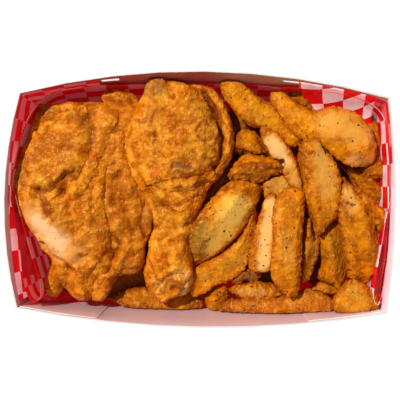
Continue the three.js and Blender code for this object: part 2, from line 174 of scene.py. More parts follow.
def rough(points, size, seed, octaves=3):
    """Noise summed over finer and finer sizes."""
    total = np.zeros(len(points))
    for i in range(octaves):
        total += noise(points, size / 2 ** i, seed + i) / 2 ** i
    return total


def flaked(points, size, seed, steps=2.5, edge=0.3):
    """Noise cut to terraces, like layers of flaky crust."""
    place = rough(points, size, seed, 2) * steps
    base = np.floor(place)
    part = np.clip((place - base) / edge, 0, 1)
    return (base + part * part * (3 - 2 * part)) / steps


def bubbles(points, size, seed):
    """Distance to the nearest of the random points, one to a cell, from 0 at a point to about 1."""
    place = points / size + FAR + seed * BUBBLE_STEP
    cell = np.floor(place)
    nearest = np.full(len(points), 9.0)
    for step in np.ndindex(3, 3, 3):
        other = cell + np.array(step) - 1
        spot = other + np.stack([lattice(other, seed + k) for k in (1, 2, 3)], axis=1)
        nearest = np.minimum(nearest, ((spot - place) ** 2).sum(axis=1))
    return np.sqrt(nearest)


def step_up(value, low, high):
    """A smooth rise from 0 at low to 1 at high."""
    part = np.clip((value - low) / (high - low), 0, 1)
    return part * part * (3 - 2 * part)


# ---------------------------------------------------------------- meshes


def merged_copy(node, name):
    """A new mesh object like a CAD node, with the corners of its triangles joined."""
    form = bmesh.new()
    form.from_mesh(frame["nodes"][node].data)
    bmesh.ops.remove_doubles(form, verts=form.verts, dist=1e-6)
    return object_of(form, name)


def object_of(form, name):
    """Turns a bmesh to a mesh object in the scene and frees it."""
    mesh = bpy.data.meshes.new(name)
    form.to_mesh(mesh)
    form.free()
    piece = bpy.data.objects.new(name, mesh)
    bpy.context.scene.collection.objects.link(piece)
    return piece


def apply_modifiers(piece):
    """Bakes an object's modifiers into its mesh."""
    graph = bpy.context.evaluated_depsgraph_get()
    graph.update()
    mesh = bpy.data.meshes.new_from_object(piece.evaluated_get(graph))
    piece.modifiers.clear()
    old = piece.data
    piece.data = mesh
    bpy.data.meshes.remove(old)


def points_of(mesh):
    """The mesh's points in millimetres."""
    flat = np.zeros(len(mesh.vertices) * 3)
    mesh.vertices.foreach_get("co", flat)
    return flat.reshape(-1, 3) / MM


def set_points(mesh, points):
    """Moves the mesh's points, given in millimetres."""
    mesh.vertices.foreach_set("co", (points * MM).ravel())
    mesh.update()


def normals_of(mesh):
    """The mesh's outward direction at each point."""
    flat = np.zeros(len(mesh.vertices) * 3, np.float32)
    mesh.vertex_normals.foreach_get("vector", flat)
    return flat.reshape(-1, 3).astype(float)


def smoothed(mesh, points, times, share=0.5):
    """Values at the points, each drawn towards the mean of its neighbours."""
    flat = np.zeros(len(mesh.edges) * 2, np.int64)
    mesh.edges.foreach_get("vertices", flat)
    a, b = flat.reshape(-1, 2).T
    count = np.bincount(flat, minlength=len(points))[:, None]
    for _ in range(times):
        total = np.stack([
            np.bincount(a, points[b, i], len(points)) + np.bincount(b, points[a, i], len(points))
            for i in range(points.shape[1])
        ], axis=1)
        points = points + share * (total / count - points)
    return points


def set_attribute(mesh, name, kind, values):
    """Stores one value or colour for each point."""
    field = "color" if kind == "FLOAT_COLOR" else "value"
    layer = mesh.attributes.new(name, kind, "POINT")
    layer.data.foreach_set(field, np.ascontiguousarray(values, np.float32).ravel())


def shade_smooth(mesh):
    """Shades every face smooth."""
    mesh.polygons.foreach_set("use_smooth", [True] * len(mesh.polygons))


def standing_out(mesh, points, normals, times):
    """How far each point stands out of its surroundings. The more times, the wider they are."""
    return ((points - smoothed(mesh, points, times)) * normals).sum(axis=1)


SMOOTH, SWELL = 0.6, -0.62  # a smoothing step and the opposite one that keeps the size


def rounded_food(node, name, coarse, softness, levels):
    """A CAD food solid remeshed to even squares, rounded without shrinking, and divided."""
    piece = merged_copy(node, name)
    remesh = piece.modifiers.new("even squares", "REMESH")
    remesh.mode = "VOXEL"
    remesh.voxel_size = coarse * MM
    apply_modifiers(piece)
    points = points_of(piece.data)
    for _ in range(softness):
        points = smoothed(piece.data, smoothed(piece.data, points, 1, SMOOTH), 1, SWELL)
    set_points(piece.data, points)
    divide = piece.modifiers.new("rounding", "SUBSURF")
    divide.levels = divide.render_levels = levels
    apply_modifiers(piece)
    shade_smooth(piece.data)
    return piece


def ride(piece, slot, *nodes):
    """Fixes a piece to the part and hides the CAD nodes it stands for. The slot is not used."""
    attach(piece, "root")
    if nodes:
        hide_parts(*nodes)


# ---------------------------------------------------------------- what the user may change


class MealSizes(bpy.types.PropertyGroup):
    """Sizes of the meal's surface detail."""

    crust_height: FloatProperty(
        name="Crust Height", description="How high the chicken's crust stands", default=0.9 * MM,
        unit="LENGTH", min=0.0, max=3 * MM)
    wedge_crust: FloatProperty(
        name="Wedge Crust", description="How high the crust of a potato wedge stands", default=0.5 * MM,
        unit="LENGTH", min=0.0, max=2 * MM)
    check: FloatProperty(
        name="Check", description="Side of one printed check of the liner", default=13.9 * MM,
        unit="LENGTH", min=5 * MM, max=30 * MM)
    paper: FloatProperty(
        name="Paper Thickness", description="Thickness of the liner", default=0.12 * MM,
        unit="LENGTH", min=0.05 * MM, max=0.5 * MM)
    herbs: IntProperty(
        name="Herb Flakes", description="Number of flakes of dried herb on the wedges",
        default=250, min=0, max=2000)
    crumbs: IntProperty(
        name="Crumbs", description="Number of crisp crumbs on the food", default=420, min=0, max=2000)


def color_property(name, description, code):
    """A colour the user may change, with an sRGB hex default."""
    return FloatVectorProperty(
        name=name, description=description, default=linear(code),
        subtype="COLOR", size=3, min=0.0, max=1.0)


class MealColors(bpy.types.PropertyGroup):
    """Colours of the meal."""

    crust: color_property("Crust", "Main colour of the chicken's crust", "#CA6202")
    crust_dark: color_property("Dark Crust", "Well browned parts of the crust", "#9C4602")
    crust_light: color_property("Light Crust", "Lightly browned parts of the crust", "#EA921E")
    potato: color_property("Potato", "Main colour of a potato wedge", "#E88802")
    potato_dark: color_property("Browned Potato", "Browned edges of a potato wedge", "#984202")
    potato_pale: color_property("Pale Potato", "Bare cut faces of a potato wedge", "#E8A23C")
    red: color_property("Red", "Printed checks", "#DE0A16")
    white: color_property("White", "Bare paper between the printed checks", "#F6CACC")
    board: color_property("Board", "Coated face of the board", "#DEDAD4")


# ---------------------------------------------------------------- stage

# The camera's place, how far it is above the rim, how wide its frame is there, and its turn in degrees.
CAMERA = {"at": (0.3, -0.6, 666), "frame_mm": 248, "distance": 600, "turn": 0.8}
SENSOR = 36
KEY_FROM = (-0.45, 0.35, 0.82)
KEY_STRENGTH = 3.7
KEY_ANGLE = 3
SKY_STRENGTH = 0.3
FLOOR_HALF = 2  # half the floor's side, in metres


def make_stage():
    """Floor, light and camera. The floor glows by itself, as a light table does, so it stays white."""
    scene = bpy.context.scene
    scene.view_settings.view_transform = "Standard"
    scene.view_settings.look = "None"

    world = bpy.data.worlds.new("soft studio")
    world.use_nodes = True
    back = world.node_tree.nodes["Background"]
    back.inputs["Color"].default_value = (1, 1, 1, 1)
    back.inputs["Strength"].default_value = SKY_STRENGTH
    scene.world = world

    sun = bpy.data.lights.new("key", "SUN")
    sun.energy = KEY_STRENGTH
    sun.angle = math.radians(KEY_ANGLE)
    key = bpy.data.objects.new("key", sun)
    key.rotation_euler = Vector(KEY_FROM).to_track_quat("Z", "Y").to_euler()
    scene.collection.objects.link(key)

    form = bmesh.new()
    bmesh.ops.create_grid(form, x_segments=1, y_segments=1, size=FLOOR_HALF)
    floor = object_of(form, "floor")
    material, tree, _ = new_material("white light table")
    shader = add_node(tree, "ShaderNodeBsdfPrincipled", None, {
        "Base Color": linear("#303030"), "Roughness": 0.9, "Specular IOR Level": 0.1,
        "Emission Color": linear("#FFFFFF"), "Emission Strength": 1.0})
    finish_material(tree, shader)
    floor.data.materials.append(material)

    lens = bpy.data.cameras.new("camera")
    lens.sensor_width = SENSOR
    lens.lens = SENSOR * CAMERA["distance"] / CAMERA["frame_mm"]
    camera = bpy.data.objects.new("camera", lens)
    camera.matrix_world = (Matrix.Translation(Vector(CAMERA["at"]) * MM)
                           @ Matrix.Rotation(math.radians(CAMERA["turn"]), 4, "Z"))
    scene.collection.objects.link(camera)
    scene.camera = camera


# ---------------------------------------------------------------- tray and liner

# The outer faces of the walls at the floor, and their height.
TRAY = {"left": -113, "right": 117, "front": -69.4, "back": 64.8, "height": 66}
# How far each wall bows out at the middle of its rim. It grows with this power of the height.
BOW = {"front": 10.4, "right": 4.8, "back": 15, "left": 8.8}
BOW_POWER = 1.1
SIDES = [("front", (0, -1)), ("right", (1, 0)), ("back", (0, 1)), ("left", (-1, 0))]


def wall_point(side, along, z, inset):
    """A point in plan on a wall, this far in from its outer face. along goes from 0 to 1."""
    left, right = TRAY["left"] + inset, TRAY["right"] - inset
    front, back = TRAY["front"] + inset, TRAY["back"] - inset
    corners = [(left, front), (right, front), (right, back), (left, back)]
    (ax, ay), (bx, by) = corners[side], corners[(side + 1) % 4]
    name, out = SIDES[side]
    swell = BOW[name] * 4 * along * (1 - along) * max(z / TRAY["height"], 0) ** BOW_POWER
    return np.array([ax + (bx - ax) * along + out[0] * swell, ay + (by - ay) * along + out[1] * swell])


def inside_tray(points, inset):
    """The points moved level, where they must be, to stay this far inside the walls' outer faces."""
    points = points.copy()
    rise = np.clip(points[:, 2] / TRAY["height"], 0, 1) ** BOW_POWER
    ends = [("left", "right"), ("front", "back")]
    for axis, (low, high) in enumerate(ends):
        start, end = ends[1 - axis]
        along = np.clip((points[:, 1 - axis] - TRAY[start]) / (TRAY[end] - TRAY[start]), 0, 1)
        swell = 4 * along * (1 - along) * rise
        lowest = TRAY[low] - BOW[low] * swell + inset
        highest = TRAY[high] + BOW[high] * swell - inset
        points[:, axis] = np.clip(points[:, axis], lowest, highest)
    return points


PAPER_GAP = 1.05  # the paper stays this far inside the outer face of the board
FOOD_GAP = 1.8  # and the food this far
# The inside of each wall, tinged by painted red light reflected from the liner, and darker on the back
# wall by painted shade: its left and its right half.
INNER_PAINTED_LIGHT = {
    "front": ("#DEB6B2", "#E2BAB6"),
    "right": ("#F2DEE0", "#F2DEE0"),
    "back": ("#C8605A", "#DCA080"),
    "left": ("#EEBCB4", "#EEBCB4"),
}
TINT_BORDER = (8, 11)  # from the left tints to the right ones between these x
WALL_REACH = (115, 70)  # about half the tray's length and width: tells which wall a point belongs to
SHARP = math.radians(28)  # an edge with a larger angle than this is a fold
EASE = 0.16  # width of the rounding of a cut edge


def board_material(colors):
    """Coated paperboard: white clay coat calendered smooth, its inside tinged with painted reflected
    light and painted shade.
    """
    material, tree, place = new_material("clay coated paperboard")
    tooth = add_node(tree, "ShaderNodeTexNoise", None, {
        "Vector": place, "Scale": noise_scale(1.5), "Detail": 3}).outputs["Fac"]
    haze = add_node(tree, "ShaderNodeTexNoise", None, {
        "Vector": place, "Scale": noise_scale(24), "Detail": 2}).outputs["Fac"]
    inner = add_node(tree, "ShaderNodeAttribute", {"attribute_name": "inner"})
    base = color_mix(tree, ranged(tree, haze, 0.2, 0.9), colors.board[:], linear("#D4CEC6"))
    # The inside takes its painted reflected light and painted shade from the inner attribute.
    base = color_mix(tree, inner.outputs["Alpha"], base, inner.outputs["Color"])
    bump = add_node(tree, "ShaderNodeBump", None, {
        "Height": tooth, "Strength": 0.12, "Distance": 0.1 * MM}).outputs["Normal"]
    shader = add_node(tree, "ShaderNodeBsdfPrincipled", None, {
        "Base Color": base, "Roughness": ranged(tree, haze, 0.2, 0.8, 0.3, 0.4),
        "Specular IOR Level": 0.6, "Normal": bump})
    finish_material(tree, shader)
    return material


def smooth_between_folds(mesh):
    """Shades the mesh smooth, apart from its sharp folds."""
    form = bmesh.new()
    form.from_mesh(mesh)
    for edge in form.edges:
        edge.smooth = edge.calc_face_angle(0) < SHARP
    for face in form.faces:
        face.smooth = True
    form.to_mesh(mesh)
    form.free()


def painted_inner_light(mesh):
    """The painted reflected light and shade on the tray's inside at each point, and how far the point
    faces inwards.
    """
    points, normals = points_of(mesh), normals_of(mesh)
    inward = -(normals[:, :2] * points[:, :2] / (TRAY["right"], TRAY["back"])).sum(axis=1)
    x, y = (points[:, :2] / WALL_REACH).T
    wall = np.argmax(np.stack([-y, x, y, -x]), axis=0)
    tints = np.array([[linear(code) for code in INNER_PAINTED_LIGHT[name]] for name, _ in SIDES])[wall]
    east = step_up(points[:, :1], *TINT_BORDER)
    tints = tints[:, 0] * (1 - east) + tints[:, 1] * east
    return np.column_stack([tints, step_up(inward, 0.2, 0.6)])


def make_tray(colors):
    """The paperboard tray, from the CAD solid with its cut edges eased."""
    tray = merged_copy("tray", "paperboard_tray")
    ease = tray.modifiers.new("eased edges", "BEVEL")
    ease.width = EASE * MM
    ease.segments = 2
    ease.limit_method = "ANGLE"
    ease.angle_limit = SHARP
    apply_modifiers(tray)
    smooth_between_folds(tray.data)
    set_attribute(tray.data, "inner", "FLOAT_COLOR", painted_inner_light(tray.data))
    tray.data.materials.append(board_material(colors))
    ride(tray, "board", "tray")


# Painted light: a glow that stands in for light coming through the thin paper and board, at each part of
# the liner.
GLOW = {"walls": 0.21, "corner": 0.4, "floor": 0.3, "pleat": 0.3, "fold": 0.28}


def paper_material(colors):
    """Waxed paper: thin bleached sheet with printed red checks under a glossy wax coat.

    Its white checks are turned to the print's deep red where its other side shows, and as painted shade
    where it lies in shade. Frying fat stains it in blotches.
    """
    material, tree, place = new_material("waxed checked paper")
    spread = add_node(tree, "ShaderNodeUVMap", {"uv_map": "print"}).outputs["UV"]
    crinkle = add_node(tree, "ShaderNodeTexNoise", None, {
        "Vector": place, "Scale": noise_scale(14), "Detail": 4})
    wobble = add_node(tree, "ShaderNodeVectorMath", {"operation": "MULTIPLY_ADD"}, {
        0: crinkle.outputs["Color"], 1: (0.05, 0.05, 0), 2: spread}).outputs[0]
    checks = add_node(tree, "ShaderNodeTexChecker", None, {
        "Vector": wobble, "Scale": 1.0, "Color1": colors.red[:], "Color2": colors.white[:]})
    grease = add_node(tree, "ShaderNodeTexNoise", None, {
        "Vector": place, "Scale": noise_scale(9), "Detail": 3}).outputs["Fac"]
    reverse = add_node(tree, "ShaderNodeAttribute", {"attribute_name": "reverse"}).outputs["Fac"]
    glow = add_node(tree, "ShaderNodeAttribute", {"attribute_name": "glow"}).outputs["Fac"]
    # The print's deep red over the white checks: the sheet's other side, and painted shade.
    printed = color_mix(tree, reverse, checks.outputs["Color"], linear("#C00A12"))
    greasy = ranged(tree, grease, 0.5, 0.8, 0, 0.4)
    stain = color_mix(tree, greasy, printed, linear("#D8483C"), "MULTIPLY")
    bump = add_node(tree, "ShaderNodeBump", None, {
        "Height": crinkle.outputs["Fac"], "Strength": 0.4, "Distance": 1.2 * MM}).outputs["Normal"]
    # The glow attribute makes the paper give off its own colour: painted light.
    shader = add_node(tree, "ShaderNodeBsdfPrincipled", None, {
        "Base Color": stain, "Roughness": 0.28, "Specular IOR Level": 0.35, "Normal": bump,
        "Emission Color": stain, "Emission Strength": glow})
    finish_material(tree, shader)
    return material


PAPER_INSET = 1.9
PAPER_FLOOR = 1.4
# How far before and after the corner at which each wall starts the paper is rounded.
TURNS = [(8, 8), (8, 8), (15, 25), (22, 50)]
# Height of the paper's top edge at even steps along each wall.
EDGE = {
    "front": [42, 24, 30, 22, 27, 24, 30, 40],
    "right": [50, 58, 61, 62, 60],
    "back": [60, 58, 54, 51, 50, 54, 61, 63],
    "left": [64, 63, 60, 46, 44],
}
WAVE = 0.9  # how far that edge's small waves rise
WALL_STEPS, TURN_STEPS, WALL_ROWS = 26, 12, 22
# The second layer of paper in each back corner: on each wall it lies on, the wall's number, from where
# to where along it and in how many steps, and then where its print starts.
CORNER_LAYERS = [
    ([(2, 0.79, 1.0, 14), (3, 0.02, 0.98, 34)], 0.4),
    ([(1, 0.7, 1.0, 14), (2, 0.02, 0.24, 14)], 0.2),
]
CORNER = {"inset": 1.15, "foot": 12, "top": 63.5, "rows": 14, "reach": 0.995}
LEFT_WALL = 3  # its number in SIDES
# Height of that layer's top at places along the left wall.
CORNER_PLACES = [0, 0.2, 0.45, 0.6, 1]
CORNER_EDGE = [64, 63, 60, 57, 56]
FLOOR_STEPS = (40, 24)
FLOOR_MARGIN = 4  # the paper on the floor stops this far inside the walls of paper
# The rolled pleats: their line in plan, the height they start at and how much lower they end, where
# their print starts, and how much of it is hidden.
# Their white turned deep red shows their other side, and is painted shade.
PLEATS = [
    {"line": [(-119, 10), (-114.5, -5), (-109, -25), (-103, -45), (-99.5, -57), (-100, -64),
              (-104, -66.5), (-108, -62), (-111, -52)],
     "top": 57, "drop": 3, "print": 0.3, "hidden": 0.75},
    {"line": [(121, 2), (117.6, -10), (114.8, -28), (112, -45), (110.6, -56), (111, -62.5),
              (113.6, -65.3), (115.6, -60)],
     "top": 58, "drop": 3, "print": 0.8, "hidden": 0.1},
]
PLEAT_STEPS, PLEAT_ROWS = 64, 16
# The folded-in corner starts on the back wall, from one place along it to another, at this height.
FOLD_START = {"from": 0.236, "to": 0.03, "z": 63.5, "inset": 1.5}
FOLD_FREE = [(70, 55.5, 40), (83, 54, 37), (96, 52, 36), (111, 47, 37)]
FOLD_STEPS, FOLD_ROWS = 34, 20
FOLD_SAG = 6  # how far the sheet sags between the wall and its free edge
# Where the fold's print starts, and how far its rows fan out: by the distance along it, and its square.
FOLD_PRINT = {"start": 0.64, "fan": 0.15, "spread": 0.19}
# How much of the print's white is turned deep red on each wall's two halves, where the sheet shows its
# other side and as painted shade where it lies in shade.
REVERSE_AND_SHADE = {"front": (0.98, 0.98), "right": (0.97, 0.0), "back": (0.9, 0.82), "left": (0.74, 0.96)}


def curve_through(points, count):
    """Evenly spaced places on a smooth line through the points."""
    points = np.array(points, float)
    ends = np.vstack([2 * points[0] - points[1], points, 2 * points[-1] - points[-2]])
    fine = []
    for i in range(1, len(ends) - 2):
        p0, p1, p2, p3 = ends[i - 1:i + 3]
        for t in np.linspace(0, 1, 12, endpoint=False):
            fine.append(0.5 * (2 * p1 + (p2 - p0) * t + (2 * p0 - 5 * p1 + 4 * p2 - p3) * t ** 2
                               + (3 * p1 - p0 - 3 * p2 + p3) * t ** 3))
    fine = np.array([*fine, points[-1]])
    run = np.concatenate([[0], np.cumsum(np.linalg.norm(np.diff(fine, axis=0), axis=1))])
    places = np.linspace(0, run[-1], count)
    line = np.stack([np.interp(places, run, fine[:, i]) for i in range(fine.shape[1])], axis=1)
    return line, places


def add_sheet(form, columns, rows, glow, place):
    """Adds a grid of paper. place gives x, y, z, the print's u and v, and how hidden the print is."""
    layer = form.loops.layers.uv.get("print") or form.loops.layers.uv.new("print")
    reverse = form.verts.layers.float.get("reverse") or form.verts.layers.float.new("reverse")
    light = form.verts.layers.float.get("glow") or form.verts.layers.float.new("glow")
    start = len(form.verts)
    bmesh.ops.create_grid(form, x_segments=columns - 1, y_segments=rows - 1, size=0.5)
    form.verts.ensure_lookup_table()
    form.verts.index_update()
    spots = [place(i % columns, i // columns) for i in range(columns * rows)]
    for i, spot in enumerate(spots):
        form.verts[start + i].co = Vector(spot[:3]) * MM
        form.verts[start + i][reverse] = spot[5]
        form.verts[start + i][light] = glow
    for face in form.faces:
        if face.verts[0].index >= start:
            for loop in face.loops:
                loop[layer].uv = spots[loop.vert.index - start][3:5]


LENGTHS = (TRAY["right"] - TRAY["left"], TRAY["back"] - TRAY["front"])
# Where the print's columns start on each wall: x on the front and back, y on the left and right.
PRINT_START = {"front": 5.0, "right": 37.7, "back": -61.0, "left": 17.1}
PRINT_ROW = 44.0  # a row of the print starts at this height
PRINT_LEVEL = 40  # the print's length round the walls is measured at this height
CORNER_LEVEL = {"z": 50, "inset": 1.1}  # and that of the corner layers here


def paper_plan(straight, turn):
    """Places round the liner: side, how far along it, and how far round the corner after it."""
    plan = []
    for side in range(4):
        after = (side + 1) % 4
        start = TURNS[side][1] / LENGTHS[side % 2]
        end = 1 - TURNS[after][0] / LENGTHS[side % 2]
        plan += [(side, start + (end - start) * t, 0.0) for t in np.linspace(0, 1, straight)]
        plan += [(side, end, t) for t in np.linspace(0, 1, turn + 2)[1:-1]]
    return plan


def plan_point(spot, z, inset):
    """Where a place round the liner is in plan at one height."""
    side, along, turn = spot
    start = wall_point(side, along, z, inset)
    if turn == 0:
        return start
    after = (side + 1) % 4
    corner = wall_point(side, 1, z, inset)
    end = wall_point(after, TURNS[after][1] / LENGTHS[after % 2], z, inset)
    return start * (1 - turn) ** 2 + corner * 2 * turn * (1 - turn) + end * turn ** 2


def print_columns(plan, check):
    """The print's u at each place: true to each wall's start, and evened out round the corners."""
    points = np.array([plan_point(spot, PRINT_LEVEL, PAPER_INSET) for spot in plan])
    wall = []
    for (side, _, turn), (x, y) in zip(plan, points):
        name = SIDES[side][0]
        run = {"front": x, "right": y, "back": -x, "left": -y}[name]
        start = PRINT_START[name] * (1 if name in ("front", "right") else -1)
        wall.append((run - start) / check if turn == 0 else None)
    steps = np.linalg.norm(np.diff(points, axis=0), axis=1) / check
    u, shift = [wall[0]], 0.0
    for i in range(1, len(plan)):
        guess = u[-1] + steps[i - 1]
        if wall[i] is None:
            u.append(guess)
            continue
        if plan[i][0] != plan[i - 1][0]:
            shift = 2 * round((guess - wall[i]) / 2)
            first = max(j for j in range(i) if wall[j] is not None)
            error = wall[i] + shift - guess
            for j in range(first + 1, i):
                u[j] += error * (j - first) / (i - first)
        u.append(wall[i] + shift)
    return u


def edge_height(spot):
    """Height of the paper's top edge at a place, before its small waves."""
    side, along, turn = spot
    values = EDGE[SIDES[side][0]]
    own = float(np.interp(along, np.linspace(0, 1, len(values)), values))
    after = (side + 1) % 4
    values = EDGE[SIDES[after][0]]
    start = TURNS[after][1] / LENGTHS[after % 2]
    return own + (float(np.interp(start, np.linspace(0, 1, len(values)), values)) - own) * turn


def add_walls_of_paper(form, check):
    """The paper against the four walls, rounded at the corners, with a wavy top edge."""
    plan = paper_plan(WALL_STEPS, TURN_STEPS)
    u = print_columns(plan, check)
    plan.append(plan[0])
    u.append(u[-1] + 1)
    heights = np.array([edge_height(spot) for spot in plan])
    heights += WAVE * noise(np.stack([u, u, heights * 0], axis=1), 0.45, 3)
    heights[-1] = heights[0]

    def place(column, row):
        share = row / (WALL_ROWS - 1)
        z = PAPER_FLOOR + (heights[column] - PAPER_FLOOR) * share
        # The sheet sways by up to 1 mm, leans in at its top edge and curves in at its foot.
        sway = noise(np.array([[u[column] * 1.3, z / 16, 0.0]]), 1.0, 5)[0]
        inset = PAPER_INSET + (0.5 + 0.5 * sway) * share + 0.5 * max(share - 0.85, 0) / 0.15
        x, y = plan_point(plan[column], z, inset + 5 * max(1 - z / 6, 0) ** 2)
        side, along, turn = plan[column]
        # How much of the white is turned deep red: the other side, and painted shade.
        start, end = REVERSE_AND_SHADE[SIDES[side][0]]
        own = start + (end - start) * step_up(along, 0.4, 0.55)
        hidden = own * (1 - turn) + REVERSE_AND_SHADE[SIDES[(side + 1) % 4][0]][0] * turn
        return x, y, z, u[column], (z - PRINT_ROW) / check, hidden

    add_sheet(form, len(plan), WALL_ROWS, GLOW["walls"], place)


def corner_edge(side, along):
    """Height of the top of the paper behind the rounded layer."""
    return float(np.interp(along, CORNER_PLACES, CORNER_EDGE)) if side == LEFT_WALL else CORNER["top"]


def add_corner_layer(form, check, walls, print_start):
    """A layer of paper behind the rounded one, square into a back corner."""
    plan = [(side, along) for side, start, end, steps in walls
            for along in np.linspace(start, end, steps)]
    u = [print_start]
    for a, b in zip(plan, plan[1:]):
        step = wall_point(*b, **CORNER_LEVEL) - wall_point(*a, **CORNER_LEVEL)
        u.append(u[-1] + np.linalg.norm(step) / check)

    def place(column, row):
        side, along = plan[column]
        z = CORNER["foot"] + row / (CORNER["rows"] - 1) * (corner_edge(side, along) - CORNER["foot"])
        x, y = wall_point(side, min(along, CORNER["reach"]), z, CORNER["inset"])
        # Deep red over the white: the other side, and painted shade; less of it along the left wall.
        hidden = 0.8 - 0.75 * step_up(along, 0.15, 0.45) if side == LEFT_WALL else 0.8
        return x, y, z, u[column], (z - PRINT_ROW) / check, hidden

    add_sheet(form, len(plan), CORNER["rows"], GLOW["corner"], place)


def add_floor_of_paper(form, check):
    """The paper on the tray's floor, just above the feet of the walls of paper."""
    columns, rows = FLOOR_STEPS
    inset = PAPER_INSET + FLOOR_MARGIN

    def place(column, row):
        x = TRAY["left"] + inset + (LENGTHS[0] - 2 * inset) * column / (columns - 1)
        y = TRAY["front"] + inset + (LENGTHS[1] - 2 * inset) * row / (rows - 1)
        # All of the floor's white is turned deep red: painted shade in the gaps between the food.
        return x, y, PAPER_FLOOR + 0.1, x / check, y / check, 1.0

    add_sheet(form, columns, rows, GLOW["floor"], place)


def add_pleat(form, check, pleat):
    """A pleat of paper that stands on its edge along a line in plan."""
    line, run = curve_through(pleat["line"], PLEAT_STEPS)

    def place(column, row):
        share = row / (PLEAT_ROWS - 1)
        high = pleat["top"] - pleat["drop"] * (column / (PLEAT_STEPS - 1)) ** 3
        z = PAPER_FLOOR + (high - PAPER_FLOOR) * share
        x, y = line[column]
        u = pleat["print"] + run[column] / check
        return x, y, z, u, (z - PRINT_ROW) / check + 1, pleat["hidden"]

    add_sheet(form, PLEAT_STEPS, PLEAT_ROWS, GLOW["pleat"], place)


def add_folded_corner(form, check):
    """The corner of paper folded in over the wedges at the back right."""
    start = FOLD_START
    root, run = curve_through([(*wall_point(2, along, start["z"], start["inset"]), start["z"])
                               for along in np.linspace(start["from"], start["to"], 5)], FOLD_STEPS)
    free, _ = curve_through(FOLD_FREE, FOLD_STEPS)

    def place(column, row):
        share = row / (FOLD_ROWS - 1)
        x, y, z = root[column] * (1 - share) + free[column] * share
        z -= FOLD_SAG * math.sin(math.pi * share)
        reach = np.linalg.norm(free[column] - root[column]) * share
        u = run[column] / check
        fan = FOLD_PRINT["fan"] * (u - 0.5) + FOLD_PRINT["spread"] * (u - 0.5) ** 2
        return x, y, z, u, reach / check + FOLD_PRINT["start"] + fan, 0.0

    add_sheet(form, FOLD_STEPS, FOLD_ROWS, GLOW["fold"], place)


def make_liner(sizes, colors):
    """The checked paper liner: walls, corner layers, floor, two pleats and one folded-in corner."""
    check = sizes.check / MM
    form = bmesh.new()
    add_walls_of_paper(form, check)
    for walls, print_start in CORNER_LAYERS:
        add_corner_layer(form, check, walls, print_start)
    add_floor_of_paper(form, check)
    for pleat in PLEATS:
        add_pleat(form, check, pleat)
    add_folded_corner(form, check)
    liner = object_of(form, "checked_paper_liner")
    shade_smooth(liner.data)
    set_points(liner.data, inside_tray(points_of(liner.data), PAPER_GAP))
    thick = liner.modifiers.new("paper thickness", "SOLIDIFY")
    thick.thickness = sizes.paper
    thick.offset = 0
    apply_modifiers(liner)
    liner.data.materials.append(paper_material(colors))
    ride(liner, "paper", "liner")


# ---------------------------------------------------------------- places read off the photograph

# The photograph looks straight down. Its middle is under the camera, and one of its 400 pixels is
# this many millimetres wide at the height of the tray's rim.
PHOTO_MIDDLE = (199.5, 199.0)
PIXEL_AT_RIM = CAMERA["frame_mm"] / 400


def from_photo(pixels, z):
    """Places in plan, at a height in millimetres, of points read off the photograph."""
    away = np.array(pixels, float).reshape(-1, 2) - PHOTO_MIDDLE
    away *= PIXEL_AT_RIM * (CAMERA["at"][2] - z) / CAMERA["distance"]
    turn = math.radians(CAMERA["turn"])
    x, y = away[:, 0], -away[:, 1]
    turned = [x * math.cos(turn) - y * math.sin(turn), x * math.sin(turn) + y * math.cos(turn)]
    return np.stack(turned, axis=1)


def line_distance(points, line):
    """Distance in plan from each point to a broken line, and on which side: 1 is to its left."""
    best = np.full(len(points), 1e9)
    side = np.zeros(len(points))
    if len(line) == 1:
        line = [line[0], line[0] + (0.01, 0)]
    for start, end in zip(line, line[1:]):
        step = end - start
        away = points[:, :2] - start
        share = np.clip(away @ step / (step @ step), 0, 1)
        off = away - share[:, None] * step
        far = np.hypot(off[:, 0], off[:, 1])
        near = far < best
        best = np.where(near, far, best)
        side = np.where(near, np.sign(step[0] * away[:, 1] - step[1] * away[:, 0]), side)
    return best, side


def depth_inside(points, outline):
    """How far each point is inside a closed outline in plan. Outside it is below 0."""
    far, _ = line_distance(points, outline)
    x, y = points[:, 0], points[:, 1]
    inside = np.zeros(len(points), bool)
    for (ax, ay), (bx, by) in zip(outline, np.roll(outline, -1, axis=0)):
        crossed = (ay > y) != (by > y)
        inside ^= crossed & (x < ax + (bx - ax) * (y - ay) / ((by - ay) or 1e-9))
    return np.where(inside, far, -far)


STATIONS = 40  # places along a piece at which its outline is fitted


def outline_spans(outline, places):
    """Where a closed outline starts and ends across its length, at places along it."""
    low, high = np.full(len(places), np.inf), np.full(len(places), -np.inf)
    for (a, p), (b, q) in zip(outline, np.roll(outline, -1, axis=0)):
        share = (places - a) / ((b - a) or 1e-9)
        cut = np.where((share >= 0) & (share <= 1), p + (q - p) * share, np.nan)
        low, high = np.fmin(low, cut), np.fmax(high, cut)
    return low, high


def fitted(points, outline, axis):
    """The points moved level so that their outline in plan, seen along an axis, is the given one."""
    turned = np.array([axis, (-axis[1], axis[0])]).T
    own, wanted = points[:, :2] @ turned, outline @ turned
    start, end = own[:, 0].min(), own[:, 0].max()
    share = (own[:, 0] - start) / (end - start)
    middles = (np.arange(STATIONS) + 0.5) / STATIONS
    station = np.minimum((share * STATIONS).astype(int), STATIONS - 1)
    low, high = np.full(STATIONS, np.inf), np.full(STATIONS, -np.inf)
    np.minimum.at(low, station, own[:, 1])
    np.maximum.at(high, station, own[:, 1])
    first, last = wanted[:, 0].min(), wanted[:, 0].max()
    left, right = outline_spans(wanted, first + (last - first) * middles)
    low, high, left, right = (np.interp(share, middles, line) for line in (low, high, left, right))
    across = np.clip((own[:, 1] - low) / (high - low), 0, 1)
    moved = np.stack([first + (last - first) * share, left + (right - left) * across], axis=1)
    return np.column_stack([moved @ turned.T, points[:, 2]])


